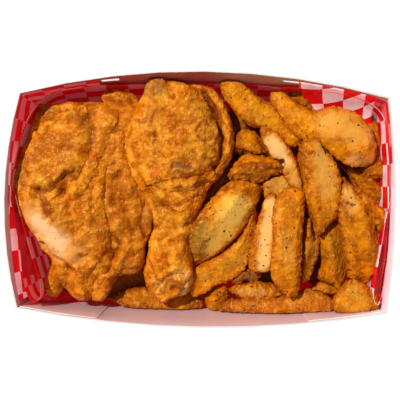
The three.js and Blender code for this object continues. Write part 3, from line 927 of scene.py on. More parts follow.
def patch_colors(points, up, patches, z, seed):
    """Colour and strength at each point from a table of patches, with ragged soft borders."""
    paint = np.zeros((len(points), 4))
    ragged = 0.3 * rough(points, 5, seed) + 0.18 * rough(points, 1.8, seed + 5)
    for pixels, width, code, strength in patches:
        far, _ = line_distance(points, from_photo(pixels, z))
        cover = strength * up * (1 - step_up(far / width + ragged, 0.35, 1.35))
        kept = 1 - cover
        paint[:, :3] = paint[:, :3] * kept[:, None] + np.array(linear(code)) * cover[:, None]
        paint[:, 3] = paint[:, 3] * kept + cover
    solid = np.maximum(paint[:, 3:], 1e-6)
    return np.hstack([paint[:, :3] / solid, paint[:, 3:]])


# ---------------------------------------------------------------- chicken

# Outlines of the pieces seen from above, in the photograph's pixels, and the height they are at.
CHICKEN_OUTLINES = {
    "chicken_leg": (50, [
        (150, 80), (162, 79), (178, 81), (190, 83), (203, 86), (213, 88), (220, 95), (227, 108),
        (232, 120), (234, 133), (233, 148), (229, 162), (221, 176), (211, 187), (205, 203), (197, 214),
        (192, 228), (189, 242), (191, 258), (193, 275), (191, 290), (183, 298), (172, 299), (163, 304),
        (153, 296), (145, 285), (143, 272), (146, 258), (149, 243), (151, 230), (148, 215), (141, 200),
        (133, 185), (127, 168), (125, 150), (125, 132), (129, 118), (136, 108), (143, 95)]),
    "chicken_breast": (46, [
        (37, 107), (47, 104), (58, 103), (70, 106), (84, 108), (96, 106), (105, 101), (118, 100),
        (130, 102), (138, 112), (137, 126), (132, 140), (121, 154), (113, 170), (109, 183), (107, 196),
        (107, 210), (111, 225), (114, 240), (114, 254), (110, 266), (103, 278), (98, 289), (92, 300),
        (82, 299), (72, 290), (66, 279), (61, 290), (54, 301), (46, 296), (42, 287), (46, 272),
        (52, 257), (42, 248), (33, 234), (23, 222), (16, 208), (13, 192), (14, 175), (19, 158),
        (25, 145), (30, 130)]),
    "chicken_wing": (40, [
        (103, 95), (110, 90), (121, 88), (130, 92), (140, 98), (142, 112), (138, 128), (133, 148),
        (136, 170), (144, 187), (151, 201), (156, 215), (155, 226), (149, 238), (146, 250), (144, 262),
        (138, 271), (128, 275), (121, 274), (113, 286), (105, 298), (94, 299), (91, 288), (96, 276),
        (101, 264), (103, 252), (101, 238), (97, 222), (94, 205), (94, 190), (98, 172), (106, 155),
        (114, 138), (114, 120), (105, 106)]),
}
# Creases and folds in the crust: pixels, depth, half width, and how much the side to the left of the
# line stands proud (to the right of it, if below 0).
CREASES = {
    "chicken_leg": [
        ([(190, 82), (201, 90), (210, 103), (217, 118), (221, 135), (221, 150), (216, 166)],
         5.0, 1.9, -1.8),
        ([(214, 166), (204, 173), (190, 177), (172, 178), (156, 183)], 1.8, 2.6, -1.4),
        ([(133, 150), (138, 168), (146, 186), (158, 200), (170, 207)], 1.8, 2.4, 1.2),
        ([(131, 165), (140, 182), (149, 198), (156, 212)], 1.6, 2.0, 0.8),
        ([(160, 188), (176, 192), (194, 189), (208, 182)], 1.6, 2.4, 1.2),
        ([(164, 205), (180, 203), (196, 196)], 1.2, 2.2, 0.8),
        ([(168, 79), (169, 90), (173, 99)], 2.0, 1.8, 0.7),
        ([(196, 128), (203, 122), (212, 128), (212, 138), (204, 141), (197, 137)], 0.7, 0.9, 0.5),
        ([(150, 229), (160, 227), (172, 230), (188, 226)], 1.6, 1.8, -1.0),
        ([(156, 108), (152, 120), (156, 132), (154, 144)], 0.9, 1.5, 0.5),
        ([(166, 120), (173, 130), (181, 127)], 1.6, 3.4, 0.0),
        ([(172, 168), (180, 165), (189, 167)], 1.4, 1.2, -0.9),
        ([(173, 164), (172, 172)], 1.4, 0.8, 0.3),
        ([(158, 286), (168, 276), (182, 273), (188, 282)], 1.6, 1.6, 1.0),
        ([(146, 262), (153, 271), (157, 285)], 1.8, 1.5, 0.9),
        ([(174, 290), (180, 292)], 2.2, 2.0, 0.0),
        ([(163, 238), (165, 252), (170, 265)], 1.0, 2.4, 0.6),
    ],
    "chicken_breast": [
        ([(36, 130), (44, 122), (54, 116), (68, 110)], 1.8, 1.6, -1.4),
        ([(87, 116), (91, 132), (90, 148), (85, 163), (75, 177), (63, 189)], 2.6, 3.4, -1.4),
        ([(60, 192), (68, 204), (72, 218), (74, 234)], 2.4, 3.0, 1.4),
        ([(40, 188), (49, 190), (56, 183), (66, 175)], 2.6, 2.2, 1.8),
        ([(112, 130), (106, 145), (98, 162), (90, 178)], 1.2, 3.4, -1.2),
        ([(78, 200), (84, 214), (82, 228)], 1.4, 3.0, 1.0),
        ([(94, 186), (92, 205), (96, 222)], 1.0, 2.8, 0.8),
        ([(42, 246), (52, 257), (62, 263), (70, 270)], 2.4, 2.0, 1.6),
        ([(66, 279), (70, 266), (80, 258)], 1.8, 2.4, 0.8),
        ([(88, 298), (86, 284), (93, 270)], 1.4, 2.2, 0.8),
        ([(34, 196), (44, 202), (50, 214)], 1.4, 2.6, -0.8),
    ],
    "chicken_wing": [
        ([(120, 172), (113, 186), (112, 204)], 2.0, 2.0, 1.2),
        ([(146, 204), (140, 224), (145, 238)], 1.8, 1.7, 1.0),
        ([(112, 236), (120, 245), (112, 258), (102, 272)], 2.4, 2.2, 1.4),
        ([(124, 142), (128, 160), (133, 180), (138, 196)], 1.2, 2.4, -1.0),
        ([(122, 200), (126, 216), (132, 232)], 1.2, 2.6, 0.9),
        ([(120, 273), (124, 262), (134, 254)], 1.6, 2.0, 0.9),
        ([(104, 98), (118, 104), (134, 100)], 1.6, 2.0, 0.8),
    ],
}
# Rounded lumps under the crust: middle in pixels, radius and height.
LUMPS = {
    "chicken_leg": [
        ((178, 118), 26, 2.2), ((203, 118), 7, 1.2), ((152, 90), 9, 1.4), ((205, 150), 9, 1.0),
        ((160, 150), 12, 1.0), ((182, 215), 8, 1.0), ((160, 262), 7, 1.2), ((178, 252), 7, 1.2),
        ((182, 280), 6, 1.4), ((157, 292), 4, 1.0),
    ],
    "chicken_breast": [
        ((64, 146), 18, 2.0), ((110, 118), 12, 1.4), ((34, 168), 9, 1.4), ((30, 200), 8, 1.2),
        ((74, 190), 8, 1.4), ((88, 215), 9, 1.4), ((96, 246), 10, 1.8), ((72, 282), 7, 1.0),
        ((52, 288), 6, 1.2), ((98, 168), 7, 1.0),
    ],
    "chicken_wing": [
        ((128, 165), 26, 2.4), ((128, 205), 30, 2.2), ((134, 120), 20, 3.0), ((126, 190), 8, 1.4),
        ((118, 225), 8, 1.4), ((138, 214), 6, 1.2), ((132, 262), 7, 1.6), ((105, 288), 6, 1.2),
        ((118, 96), 7, 1.2),
    ],
}
# Patches of another colour on the crust, some of them painted shade in creases, on a flank away from the
# light and on parts in shadow: pixels, half width, colour and strength.
CRUST_PATCHES = {
    "chicken_leg": [
        ([(160, 100), (152, 118), (156, 140)], 7, "#C88420", 0.5),
        ([(200, 112), (208, 130), (206, 150), (190, 158)], 9, "#D08C26", 0.6),
        # These two darken a crease: painted shade.
        ([(156, 110), (152, 120)], 1.3, "#6E3A22", 0.7),
        ([(153, 132), (155, 142)], 1.4, "#6E3A22", 0.6),
        ([(174, 168), (182, 169), (189, 168)], 3.2, "#77603A", 1.0),
        ([(146, 84), (156, 88)], 6.5, "#A87C34", 0.85),
        ([(148, 88), (153, 92), (158, 86)], 1.5, "#6A5220", 0.7),
        # Painted shade in a crease.
        ([(172, 122), (178, 130)], 4.0, "#9A4A08", 0.5),
        ([(176, 273), (186, 278), (190, 286)], 4.5, "#E6A850", 0.8),
        ([(170, 283), (178, 287)], 4.5, "#8E5A1C", 0.8),
        ([(183, 292), (188, 289)], 2.4, "#B8A878", 0.9),
        # Painted shade in the knuckle's crease.
        ([(180, 292), (183, 290)], 1.4, "#3A2810", 0.9),
        ([(156, 194), (160, 214)], 4.0, "#9A6414", 0.5),
        # These two darken creases: painted shade.
        ([(176, 186), (186, 192)], 4.0, "#8E5810", 0.5),
        ([(153, 222), (166, 234)], 3.0, "#8A4204", 0.5),
        ([(157, 283), (159, 291)], 3.5, "#DCA244", 0.8),
        # Painted shade on the flank that faces away from the light.
        ([(222, 100), (229, 130), (224, 165)], 4.0, "#A86410", 0.5),
    ],
    "chicken_breast": [
        ([(30, 216), (42, 228), (52, 238), (62, 247), (70, 252)], 9.5, "#E49A52", 0.95),
        ([(38, 222), (50, 232), (60, 243)], 6.0, "#F8BC84", 0.95),
        ([(46, 246), (56, 256)], 3.0, "#E0A068", 0.7),
        ([(60, 163), (70, 160)], 5.0, "#F4A22C", 0.9),
        ([(36, 180), (46, 186)], 5.0, "#F6A42C", 0.9),
        # Painted shade in a crease.
        ([(88, 116), (93, 130), (92, 142)], 3.0, "#6A4A18", 0.65),
        ([(72, 114), (80, 122)], 3.5, "#7E5A1C", 0.5),
        # These two darken creases: painted shade over their browning.
        ([(40, 192), (46, 202), (48, 212)], 3.5, "#7A2C08", 0.8),
        ([(52, 184), (60, 178), (66, 172)], 3.5, "#7E3406", 0.75),
        ([(50, 142), (62, 152), (72, 142)], 7.0, "#9C4606", 0.6),
        # Painted shade near the left edge, in the wall's shadow.
        ([(22, 160), (20, 182)], 3.0, "#7C5A26", 0.6),
        # Painted shade on a lower part in shadow.
        ([(40, 108), (50, 110)], 4.0, "#6A2E04", 0.7),
        ([(100, 110), (112, 130), (104, 150)], 8.0, "#B4600A", 0.4),
        ([(60, 218), (64, 232)], 4.0, "#9A5A10", 0.5),
        ([(80, 250), (96, 236)], 8.0, "#C47A1E", 0.5),
    ],
    "chicken_wing": [
        ([(145, 208), (148, 228)], 2.4, "#8C7434", 0.6),
        ([(122, 262), (130, 268)], 2.4, "#8A6E3A", 0.7),
        ([(110, 92), (120, 94)], 4.0, "#8A4A06", 0.6),
        # Painted shade in a crease.
        ([(112, 190), (114, 215)], 4.0, "#8C4A06", 0.6),
        ([(128, 180), (134, 200)], 5.0, "#A05A0A", 0.4),
    ],
    "chicken_back": [
        # Painted shade: this piece lies in shadow under the breast and the wing.
        ([(60, 285), (100, 290), (140, 280)], 16.0, "#8A4A0A", 0.4),
    ],
}
CHICKEN_TOP = 56  # height at which the creases, lumps and patches were read
# Where meat without a crust shows. Only the strength of these patches is used.
BARE_MEAT = {"chicken_breast": [([(31, 217), (44, 230), (54, 240), (66, 250)], 9.5, "#FFFFFF", 1.0)]}
CREASE_DEPTH = 1.3  # how much deeper the creases are than in the table


def facing_up(normals):
    """1 where the surface faces up, 0 at its sides and below."""
    return step_up(normals[:, 2], 0.0, 0.5)


def crease_height(points, up, creases, seed):
    """How far the creases move the surface out, in millimetres: a narrow groove in a wide dip."""
    height = np.zeros(len(points))
    shift = 1.1 * np.stack([noise(points, 5, seed), noise(points, 5, seed + 1), 0 * height], axis=1)
    uneven = 0.75 + 0.45 * noise(points, 6, seed + 2)
    for pixels, depth, width, lip in creases:
        far, side = line_distance(points + shift, curve_through(from_photo(pixels, CHICKEN_TOP), 24)[0])
        groove, dip = np.exp(-(far / width) ** 2), np.exp(-(far / width / 2.6) ** 2)
        height -= CREASE_DEPTH * depth * uneven * (0.65 * groove + 0.35 * dip)
        proud = side * np.sign(lip) > 0
        height += abs(lip) * proud * np.exp(-((far - 1.5 * width) / (1.5 * width)) ** 2)
    return height * up


def lump_height(points, up, lumps):
    """How far the rounded lumps under the crust move it out, in millimetres."""
    height = np.zeros(len(points))
    for pixel, radius, rise in lumps:
        middle = from_photo([pixel], CHICKEN_TOP)[0]
        far = np.hypot(*(points[:, :2] - middle).T)
        height += rise * np.exp(-(far / (radius * PIXEL_AT_RIM)) ** 4)
    return height * up


OIL_SHINE = {"Specular IOR Level": 0.28, "Specular Tint": linear("#FFC880")}  # golden frying oil
NOISE_KINDS = {"blotch": (5, 0.5), "mottle": (6, 0.62), "grain": (2, 0.6)}  # detail and roughness
GRAIN_DEPTH = 1.2  # coarser than real flour, as fine as the render shows


def masked(tree, value, mask):
    """A value where the mask is 1, and nothing where it is 0."""
    return add_node(tree, "ShaderNodeMath", {"operation": "MULTIPLY"}, {0: value, 1: mask}).outputs[0]


def crusted_relief(tree, grain, blotch, crusted):
    """Bump of fine grain where the surface has a crust, deeper in some blotches than in others."""
    uneven = masked(tree, ranged(tree, blotch, 0.4, 0.6, 0.3, 1.0), crusted)
    return add_node(tree, "ShaderNodeBump", None, {
        "Height": masked(tree, grain, uneven), "Strength": 1.0,
        "Distance": GRAIN_DEPTH * MM}).outputs["Normal"]


def fried_material(name, sizes_mm, base, washes, flecks, painted_shade_tone):
    """Food under a crust fried in oil: blotched and mottled, with a fine grain and a film of oil.

    sizes_mm: width of the blotches, the mottles and the grain. base: range of the blotches, and the
    colours at its ends. washes: what each colour follows, and the colour, or None for the painted
    patches. flecks: which noise, its range, its strength and its colour, on crusted parts only.
    """
    material, tree, place = new_material(name)
    looks = add_node(tree, "ShaderNodeAttribute", {"attribute_name": "looks"})
    parts = add_node(tree, "ShaderNodeSeparateColor", None, {"Color": looks.outputs["Color"]})
    paint = add_node(tree, "ShaderNodeAttribute", {"attribute_name": "paint"})
    crusted = looks.outputs["Alpha"]
    areas = {
        "browned": parts.outputs["Red"],
        "light": parts.outputs["Green"],
        "painted": paint.outputs["Alpha"],
    }
    noises = {}
    for (key, (detail, roughness)), size_mm in zip(NOISE_KINDS.items(), sizes_mm):
        noises[key] = add_node(tree, "ShaderNodeTexNoise", None, {
            "Vector": place, "Scale": noise_scale(size_mm), "Detail": detail,
            "Roughness": roughness}).outputs["Fac"]
    low, high, first, second = base
    color = color_mix(tree, ranged(tree, noises["blotch"], low, high), first, second)
    for key, tint in washes:
        color = color_mix(tree, areas[key], color, tint or paint.outputs["Color"])
    for key, low, high, strength, tint in flecks:
        fleck = masked(tree, ranged(tree, noises[key], low, high, 0, strength), crusted)
        color = color_mix(tree, fleck, color, tint)
    # The shade channel darkens the colour towards this tone: painted shade.
    color = color_mix(tree, parts.outputs["Blue"], color, painted_shade_tone)
    shader = add_node(tree, "ShaderNodeBsdfPrincipled", None, {
        "Base Color": color, "Roughness": ranged(tree, noises["mottle"], 0.35, 0.65, 0.28, 0.46),
        "Normal": crusted_relief(tree, noises["grain"], noises["blotch"], crusted), **OIL_SHINE})
    finish_material(tree, shader)
    return material


def fried_crust_material(colors):
    """Breaded chicken skin, deep fried: mottled flour crust, browned, darker in its folds by painted
    shade, a film of oil.
    """
    dark, light = colors.crust_dark[:], colors.crust_light[:]
    return fried_material(
        "fried breaded skin", (12, 4.6, 2.4), (0.36, 0.64, light, colors.crust[:]),
        [("painted", None), ("light", light), ("browned", dark)],
        [("mottle", 0.47, 0.63, 0.8, dark),
         ("mottle", 0.44, 0.32, 0.4, linear("#F4A840")),
         # Pale specks at the grain's peaks: painted glints.
         ("grain", 0.6, 0.72, 0.4, linear("#FFB84E"))],
        # The tone of the painted shade.
        linear("#3E1402"))


CHICKEN = ["chicken_leg", "chicken_breast", "chicken_wing", "chicken_back"]
LENGTHWISE = (0.0, -1.0)  # the chicken's outlines run from the back of the tray to its front
CHICKEN_SQUARE = 2.4  # side of the squares that a piece is remeshed to
# How browned each piece is all over.
BROWNING = {"chicken_leg": 0.04, "chicken_breast": 0.16, "chicken_wing": 0.42, "chicken_back": 0.5}
# How far the flanks of each piece are raised towards its top: 1 leaves them alone.
FULLNESS = {"chicken_leg": 1.2, "chicken_breast": 1.55, "chicken_wing": 1.7, "chicken_back": 1.0}


def fuller(heights, power):
    """Heights with the flanks raised, so that the piece is plumper and no taller."""
    low, high = heights.min(), heights.max()
    return low + (high - low) * (1 - (1 - (heights - low) / (high - low)) ** power)


def fit_outline(mesh, points, outline, axis, times):
    """Moves a piece's points to its outline in the photograph, then evens them out."""
    set_points(mesh, smoothed(mesh, fitted(points, outline, axis), times))


def chicken_crust(points, seed):
    """Height of the crust as a share of the crust's: swells, flakes, grit, pits and crumbs."""
    flakes = 1.0 * rough(points, 13, seed, 2) + 0.4 * flaked(points, 6, seed + 4)
    fine = 0.4 * rough(points, 2.8, seed + 8, 2) - 0.45 * np.abs(noise(points, 4.4, seed + 9))
    crumbly = 0.4 * np.abs(rough(points, 1.4, seed + 10, 1))
    return flakes + fine + crumbly


def chicken_looks(mesh, points, bare, base, seed):
    """How browned, how light, how dark and how crusted each point is. Darker and browner in hollows and
    low down, and lighter where it stands out: painted shade and painted light.
    """
    normals = normals_of(mesh)
    near = standing_out(mesh, points, normals, 10)
    wide = standing_out(mesh, points, normals, 80)
    spots = step_up(rough(points, 8, seed + 11, 3), 0.1, 0.9)
    # Browned in spots, and in hollows as painted shade.
    browned = base + 0.55 * spots + 0.4 * step_up(-wide, 0.0, 0.8) + 0.4 * step_up(-near, 0.05, 0.4)
    # Painted shade in hollows.
    hollow_shade = 0.22 * step_up(-near, 0.1, 0.5) + 0.35 * step_up(-wide, 0.5, 1.8)
    # Lighter in blotches, and where the surface stands out as painted light.
    light = 0.8 * step_up(0.5 * rough(points, 8, seed + 13, 3) + 0.7 * wide + 0.8 * near, 0.25, 1.1)
    # Painted shade low down, under the other food.
    low = step_up(34 - points[:, 2], 0, 16)
    shade = np.clip(hollow_shade * (1 - bare) + 0.35 * low, 0, 0.9)
    browned = np.clip(browned, 0, 0.95)
    return np.stack([browned * (1 - bare), light * (1 - low), shade, 1 - 0.85 * bare], axis=1)


def make_chicken(sizes, colors):
    """The four pieces of chicken, each from its CAD solid, with creases, flaked crust and browning."""
    material = fried_crust_material(colors)
    for number, node in enumerate(CHICKEN):
        seed = 40 + number * 20
        shown = node in CHICKEN_OUTLINES
        piece = rounded_food(node, "fried_" + node, CHICKEN_SQUARE, 6, 2 if shown else 1)
        mesh = piece.data
        points = points_of(mesh)
        points[:, 2] = fuller(points[:, 2], FULLNESS[node])
        if shown:
            z, pixels = CHICKEN_OUTLINES[node]
            outline = curve_through(from_photo([*pixels, pixels[0]], z), 160)[0]
            fit_outline(mesh, points, outline, LENGTHWISE, 4)
        points, normals = points_of(mesh), normals_of(mesh)
        up = facing_up(normals)
        bare = patch_colors(points, up, BARE_MEAT.get(node, []), CHICKEN_TOP, seed)[:, 3]
        height = crease_height(points, up, CREASES.get(node, []), seed)
        height += lump_height(points, up, LUMPS.get(node, []))
        height += sizes.crust_height / MM * chicken_crust(points, seed) * (1 - 0.75 * bare) + 0.4
        points = inside_tray(points + normals * height[:, None], FOOD_GAP)
        set_points(mesh, points)
        looks = chicken_looks(mesh, points, bare, BROWNING[node], seed)
        paint = patch_colors(points, up, CRUST_PATCHES[node], CHICKEN_TOP, seed)
        set_attribute(mesh, "looks", "FLOAT_COLOR", looks)
        set_attribute(mesh, "paint", "FLOAT_COLOR", paint)
        mesh.materials.append(material)
        ride(piece, "chicken", node)


# ---------------------------------------------------------------- potato wedges

# Outlines of the wedges that show from above, in the photograph's pixels, and the height they are at.
WEDGE_OUTLINES = {
    1: (48, [
        (271, 84), (275, 81), (281, 85), (288, 95), (296, 102), (305, 107), (315, 111), (323, 109),
        (336, 107), (350, 111), (362, 118), (371, 130), (377, 145), (375, 158), (366, 167), (353, 167),
        (340, 162), (331, 154), (322, 146), (310, 141), (296, 136), (285, 125), (277, 116), (271, 101)]),
    2: (50, [
        (276, 198), (281, 191), (290, 187), (301, 188), (305, 194), (303, 208), (303, 222), (301, 240),
        (301, 262), (300, 278), (298, 294), (290, 296), (280, 290), (272, 278), (271, 262), (273, 240),
        (272, 218)]),
    3: (48, [
        (299, 150), (301, 142), (309, 139), (319, 140), (326, 146), (332, 158), (338, 171), (340, 184),
        (339, 198), (337, 212), (331, 221), (326, 229), (317, 234), (314, 225), (309, 212), (305, 200),
        (301, 182), (299, 166)]),
    4: (47, [
        (339, 188), (342, 177), (348, 181), (355, 188), (363, 197), (370, 211), (375, 229), (378, 248),
        (377, 266), (369, 283), (360, 283), (349, 276), (345, 256), (341, 232), (338, 207)]),
    5: (47, [
        (220, 87), (224, 82), (231, 80), (240, 84), (249, 91), (260, 100), (272, 107), (282, 120),
        (294, 131), (303, 142), (298, 150), (290, 147), (278, 136), (265, 128), (254, 127), (246, 122),
        (237, 114), (229, 104), (222, 95)]),
    6: (47, [
        (230, 172), (237, 162), (244, 155), (255, 155), (268, 157), (278, 161), (281, 171), (271, 176),
        (260, 182), (250, 183), (240, 182), (231, 180)]),
    7: (46, [
        (260, 129), (267, 126), (275, 130), (283, 140), (291, 151), (297, 165), (301, 180), (302, 194),
        (294, 190), (284, 176), (279, 166), (272, 156), (266, 146), (261, 136)]),
    8: (43, [
        (231, 182), (244, 180), (256, 184), (263, 187), (259, 200), (253, 216), (240, 235), (222, 251),
        (206, 261), (196, 264), (189, 250), (189, 234), (197, 218), (207, 205), (218, 193)]),
    9: (43, [
        (249, 269), (249, 258), (252, 241), (257, 224), (262, 208), (267, 196), (277, 196), (277, 215),
        (275, 240), (274, 262), (268, 271), (256, 271)]),
    10: (40, [
        (236, 138), (242, 130), (252, 131), (261, 138), (270, 149), (276, 160), (262, 158), (246, 155),
        (234, 152)]),
    11: (41, [
        (284, 97), (292, 92), (303, 91), (309, 99), (313, 110), (300, 107)]),
    12: (40, [
        (262, 184), (274, 177), (290, 176), (302, 182), (302, 192), (286, 194), (272, 199), (262, 195)]),
    13: (40, [
        (305, 218), (313, 222), (318, 232), (319, 246), (315, 262), (308, 280), (300, 278), (300, 256),
        (302, 234)]),
    14: (38, [
        (319, 232), (338, 220), (344, 244), (348, 262), (345, 276), (339, 288), (331, 283), (320, 278),
        (323, 262), (318, 249)]),
    15: (48, [
        (354, 187), (365, 193), (375, 201), (383, 210), (386, 218), (383, 229), (377, 234), (370, 222),
        (361, 204)]),
    16: (40, [
        (360, 168), (374, 155), (382, 164), (382, 175), (376, 179), (366, 176)]),
    17: (46, [
        (332, 300), (338, 290), (346, 281), (354, 280), (366, 286), (374, 295), (376, 305), (368, 314),
        (352, 316), (340, 313), (333, 309)]),
    18: (37, [
        (254, 206), (255, 236), (246, 266), (234, 278), (215, 286), (198, 296), (190, 293), (190, 272),
        (204, 262), (222, 252), (238, 238), (246, 222)]),
    20: (33, [
        (229, 290), (237, 285), (250, 282), (270, 284), (286, 292), (272, 299), (253, 301), (240, 297)]),
    21: (33, [
        (232, 281), (243, 268), (260, 270), (258, 279), (240, 284)]),
    22: (35, [
        (345, 167), (356, 169), (366, 170), (378, 179), (380, 198), (373, 204), (362, 196), (352, 182)]),
    23: (36, [
        (219, 310), (228, 300), (250, 299), (278, 297), (297, 292), (308, 288), (321, 292), (333, 299),
        (331, 309), (327, 317), (319, 311), (303, 313), (278, 314), (250, 314), (228, 312)]),
    24: (30, [
        (310, 287), (325, 282), (341, 289), (332, 297), (314, 296)]),
    27: (29, [
        (203, 297), (214, 287), (226, 287), (227, 300), (217, 313), (208, 308)]),
    28: (27, [
        (108, 298), (126, 290), (150, 287), (190, 290), (203, 300), (198, 312), (180, 314), (150, 311),
        (126, 305)]),
}
# Looks of each wedge: how pale, how browned, how rough, and how dark it is as a whole, the dark being
# painted shade.
WEDGE_LOOKS = {
    1: (0.05, 0.7, 0.8, 0.06), 2: (0.15, 0.75, 1.2, 0.0), 3: (0.2, 0.85, 1.1, 0.06),
    4: (0.05, 0.95, 1.4, 0.18), 5: (0.05, 0.6, 0.9, 0.0), 6: (0.1, 0.9, 1.4, 0.05),
    7: (0.1, 0.7, 0.8, 0.0), 8: (0.0, 0.75, 1.0, 0.0), 9: (0.05, 0.75, 0.9, 0.0),
    10: (0.05, 0.8, 1.4, 0.2), 11: (0.0, 0.7, 1.0, 0.3), 12: (0.3, 0.6, 1.0, 0.05),
    13: (0.2, 0.7, 1.0, 0.15), 14: (0.15, 0.75, 1.1, 0.1), 15: (0.1, 1.0, 1.2, 0.15),
    16: (0.0, 1.0, 1.5, 0.3), 17: (0.1, 0.8, 1.2, 0.2), 18: (0.35, 0.6, 1.2, 0.0),
    19: (0.0, 0.8, 1.0, 0.3), 20: (0.05, 0.9, 1.5, 0.15), 21: (0.0, 0.9, 1.3, 0.3),
    22: (0.0, 0.9, 1.1, 0.3), 23: (0.0, 1.0, 1.2, 0.32), 24: (0.2, 0.6, 1.0, 0.15),
    27: (0.1, 0.8, 1.1, 0.15), 28: (0.0, 1.0, 1.0, 0.4),
}
# The lower layer lies under the rest and is darkest: painted shade.
DEEP_WEDGE = (0.0, 0.8, 1.0, 0.6)  # those of the lower layer
WEDGE_COUNT = 36
RIM = 3.4  # how far in from its outline a wedge is browned
FINE_SQUARE, COARSE_SQUARE = 1.3, 1.9  # side of the squares a wedge is remeshed to, shown or hidden
# Bare cut faces, other patches of colour and a painted shadow: pixels, half width, colour and strength.
WEDGE_PATCHES = {
    1: [
        ([(330, 122), (345, 126), (358, 136)], 9.5, "#E4A040", 0.8),
        ([(350, 160), (366, 160)], 3.5, "#DE9A54", 0.7),
        ([(280, 96), (296, 112), (310, 124)], 4.0, "#D2820C", 0.5),
        ([(372, 138), (374, 152)], 4.0, "#CE8430", 0.6),
        ([(361, 147)], 1.6, "#A85208", 0.8),
    ],
    2: [
        ([(286, 200), (290, 220)], 5.5, "#B0600C", 0.5),
        ([(284, 236), (288, 262)], 5.0, "#D29036", 0.5),
    ],
    3: [
        ([(318, 150), (324, 170), (324, 190)], 6.0, "#E8A84C", 0.7),
        ([(303, 150), (306, 180)], 3.0, "#944804", 0.7),
        ([(322, 214), (320, 228)], 4.5, "#A85C0A", 0.5),
    ],
    4: [
        ([(345, 192), (350, 206)], 4.5, "#EAAE58", 0.6),
        ([(345.5, 202.5), (346, 203)], 1.1, "#3A1E1C", 0.9),
        ([(350, 204.5), (350.5, 205)], 1.2, "#2E1614", 0.95),
        ([(370, 228), (374, 262)], 4.0, "#94480A", 0.6),
    ],
    5: [
        ([(230, 88), (244, 96), (262, 110)], 7.0, "#D4860A", 0.6),
        ([(250, 116), (270, 126)], 4.0, "#C47E1A", 0.5),
    ],
    6: [
        ([(240, 166), (258, 165), (276, 168)], 1.8, "#7E3A04", 0.8),
        ([(244, 174), (262, 174)], 3.5, "#C88A2C", 0.5),
    ],
    7: [
        ([(270, 142), (278, 152), (284, 162)], 5.0, "#F4BE74", 0.9),
        ([(290, 172), (297, 186)], 4.0, "#D89A44", 0.7),
        ([(263, 131), (268, 130)], 3.5, "#A85406", 0.8),
        ([(282, 138), (292, 152)], 1.8, "#B05E08", 0.8),
    ],
    8: [
        ([(232, 206), (226, 224), (212, 244)], 9.0, "#F8BC4C", 0.95),
        ([(240, 204), (236, 218)], 7.0, "#FAC258", 0.85),
        ([(202, 232), (197, 250)], 8.0, "#D09A40", 0.8),
        # Painted shadow of the drumstick on the wedge's left end.
        ([(197, 222), (194, 238), (197, 254)], 7.0, "#8A5A14", 0.75),
        ([(228, 188), (246, 188), (258, 192)], 5.0, "#CC6A06", 0.7),
        ([(250, 212), (242, 226)], 3.5, "#B8660E", 0.8),
    ],
    9: [
        ([(271, 204), (268, 222), (264, 242), (262, 264)], 4.5, "#EAB768", 0.95),
        ([(254, 240), (252, 266)], 3.0, "#B05C08", 0.6),
    ],
    12: [
        ([(270, 186), (286, 184), (298, 186)], 5.0, "#D29A3C", 0.7),
    ],
    13: [
        ([(313, 240), (311, 262)], 3.0, "#C88E34", 0.6),
    ],
    14: [
        ([(330, 236), (334, 262)], 6.0, "#B87812", 0.5),
    ],
    17: [
        ([(350, 292), (362, 300)], 5.0, "#D08A20", 0.7),
        ([(344, 304), (358, 310)], 3.0, "#D28C2C", 0.5),
    ],
    18: [
        ([(206, 280), (226, 266), (242, 244)], 4.5, "#C6861E", 0.5),
        ([(228, 270), (240, 256)], 3.0, "#8E5A16", 0.5),
    ],
    20: [
        ([(240, 291), (262, 292)], 3.0, "#C08A44", 0.5),
    ],
    21: [
        ([(240, 279), (252, 275)], 3.0, "#7A6450", 0.6),
    ],
    23: [
        ([(225, 311), (262, 311), (300, 310), (328, 306)], 6.0, "#C85C02", 0.7),
    ],
}


def fried_potato_material(colors):
    """Seasoned potato, deep fried: golden blistered faces, browned edges, pale cuts, a film of oil."""
    return fried_material(
        "fried seasoned potato", (8, 3.4, 2.1), (0.38, 0.64, colors.potato[:], linear("#C46804")),
        [("light", colors.potato_pale[:]), ("painted", None), ("browned", colors.potato_dark[:])],
        [("mottle", 0.53, 0.7, 0.6, linear("#984406")),
         ("mottle", 0.44, 0.32, 0.4, linear("#F4A626")),
         # Pale specks at the grain's peaks: painted glints.
         ("grain", 0.6, 0.72, 0.5, linear("#FFB44C"))],
        # The tone of the painted shade.
        linear("#3A1402"))


def long_axis(outline):
    """The direction in which an outline is longest."""
    _, _, rows = np.linalg.svd(outline - outline.mean(axis=0), full_matrices=False)
    return rows[0]


def crisp_edges(mesh, points, normals, outline, seed):
    """How crisp the crust is: 1 at sharp edges and along the outline, 0 on the flat faces."""
    edge = standing_out(mesh, points, normals, 40)
    crisp = step_up(edge + 0.22 * rough(points, 4, seed + 1, 2), 0.06, 0.6)
    if outline is None:
        return crisp
    wander = 1.5 * rough(points, 6, seed + 3, 2) + 0.6 * noise(points, 1.8, seed + 4)
    rim = 1 - step_up(depth_inside(points, outline) + wander, 0.4, RIM)
    return np.maximum(crisp, 0.9 * rim)


def wedge_crust(points, crisp, seed):
    """Height of a wedge's crust as a share of the crust's: swells, pits, crisp ridges and blisters."""
    height = 0.6 * rough(points, 8, seed, 2) + 0.45 * rough(points, 3.2, seed + 3, 2)
    height -= 0.3 * np.abs(noise(points, 4, seed + 6))
    ridges = 1.6 * np.abs(rough(points, 3, seed + 7, 2)) + 0.9 * rough(points, 1.7, seed + 8, 1)
    height += crisp * ridges
    blister = 0.9 * np.clip(0.5 - bubbles(points, 4.5, seed + 9), 0, 1) / 0.5
    return height + blister * step_up(noise(points, 9, seed + 8), -0.2, 0.4)


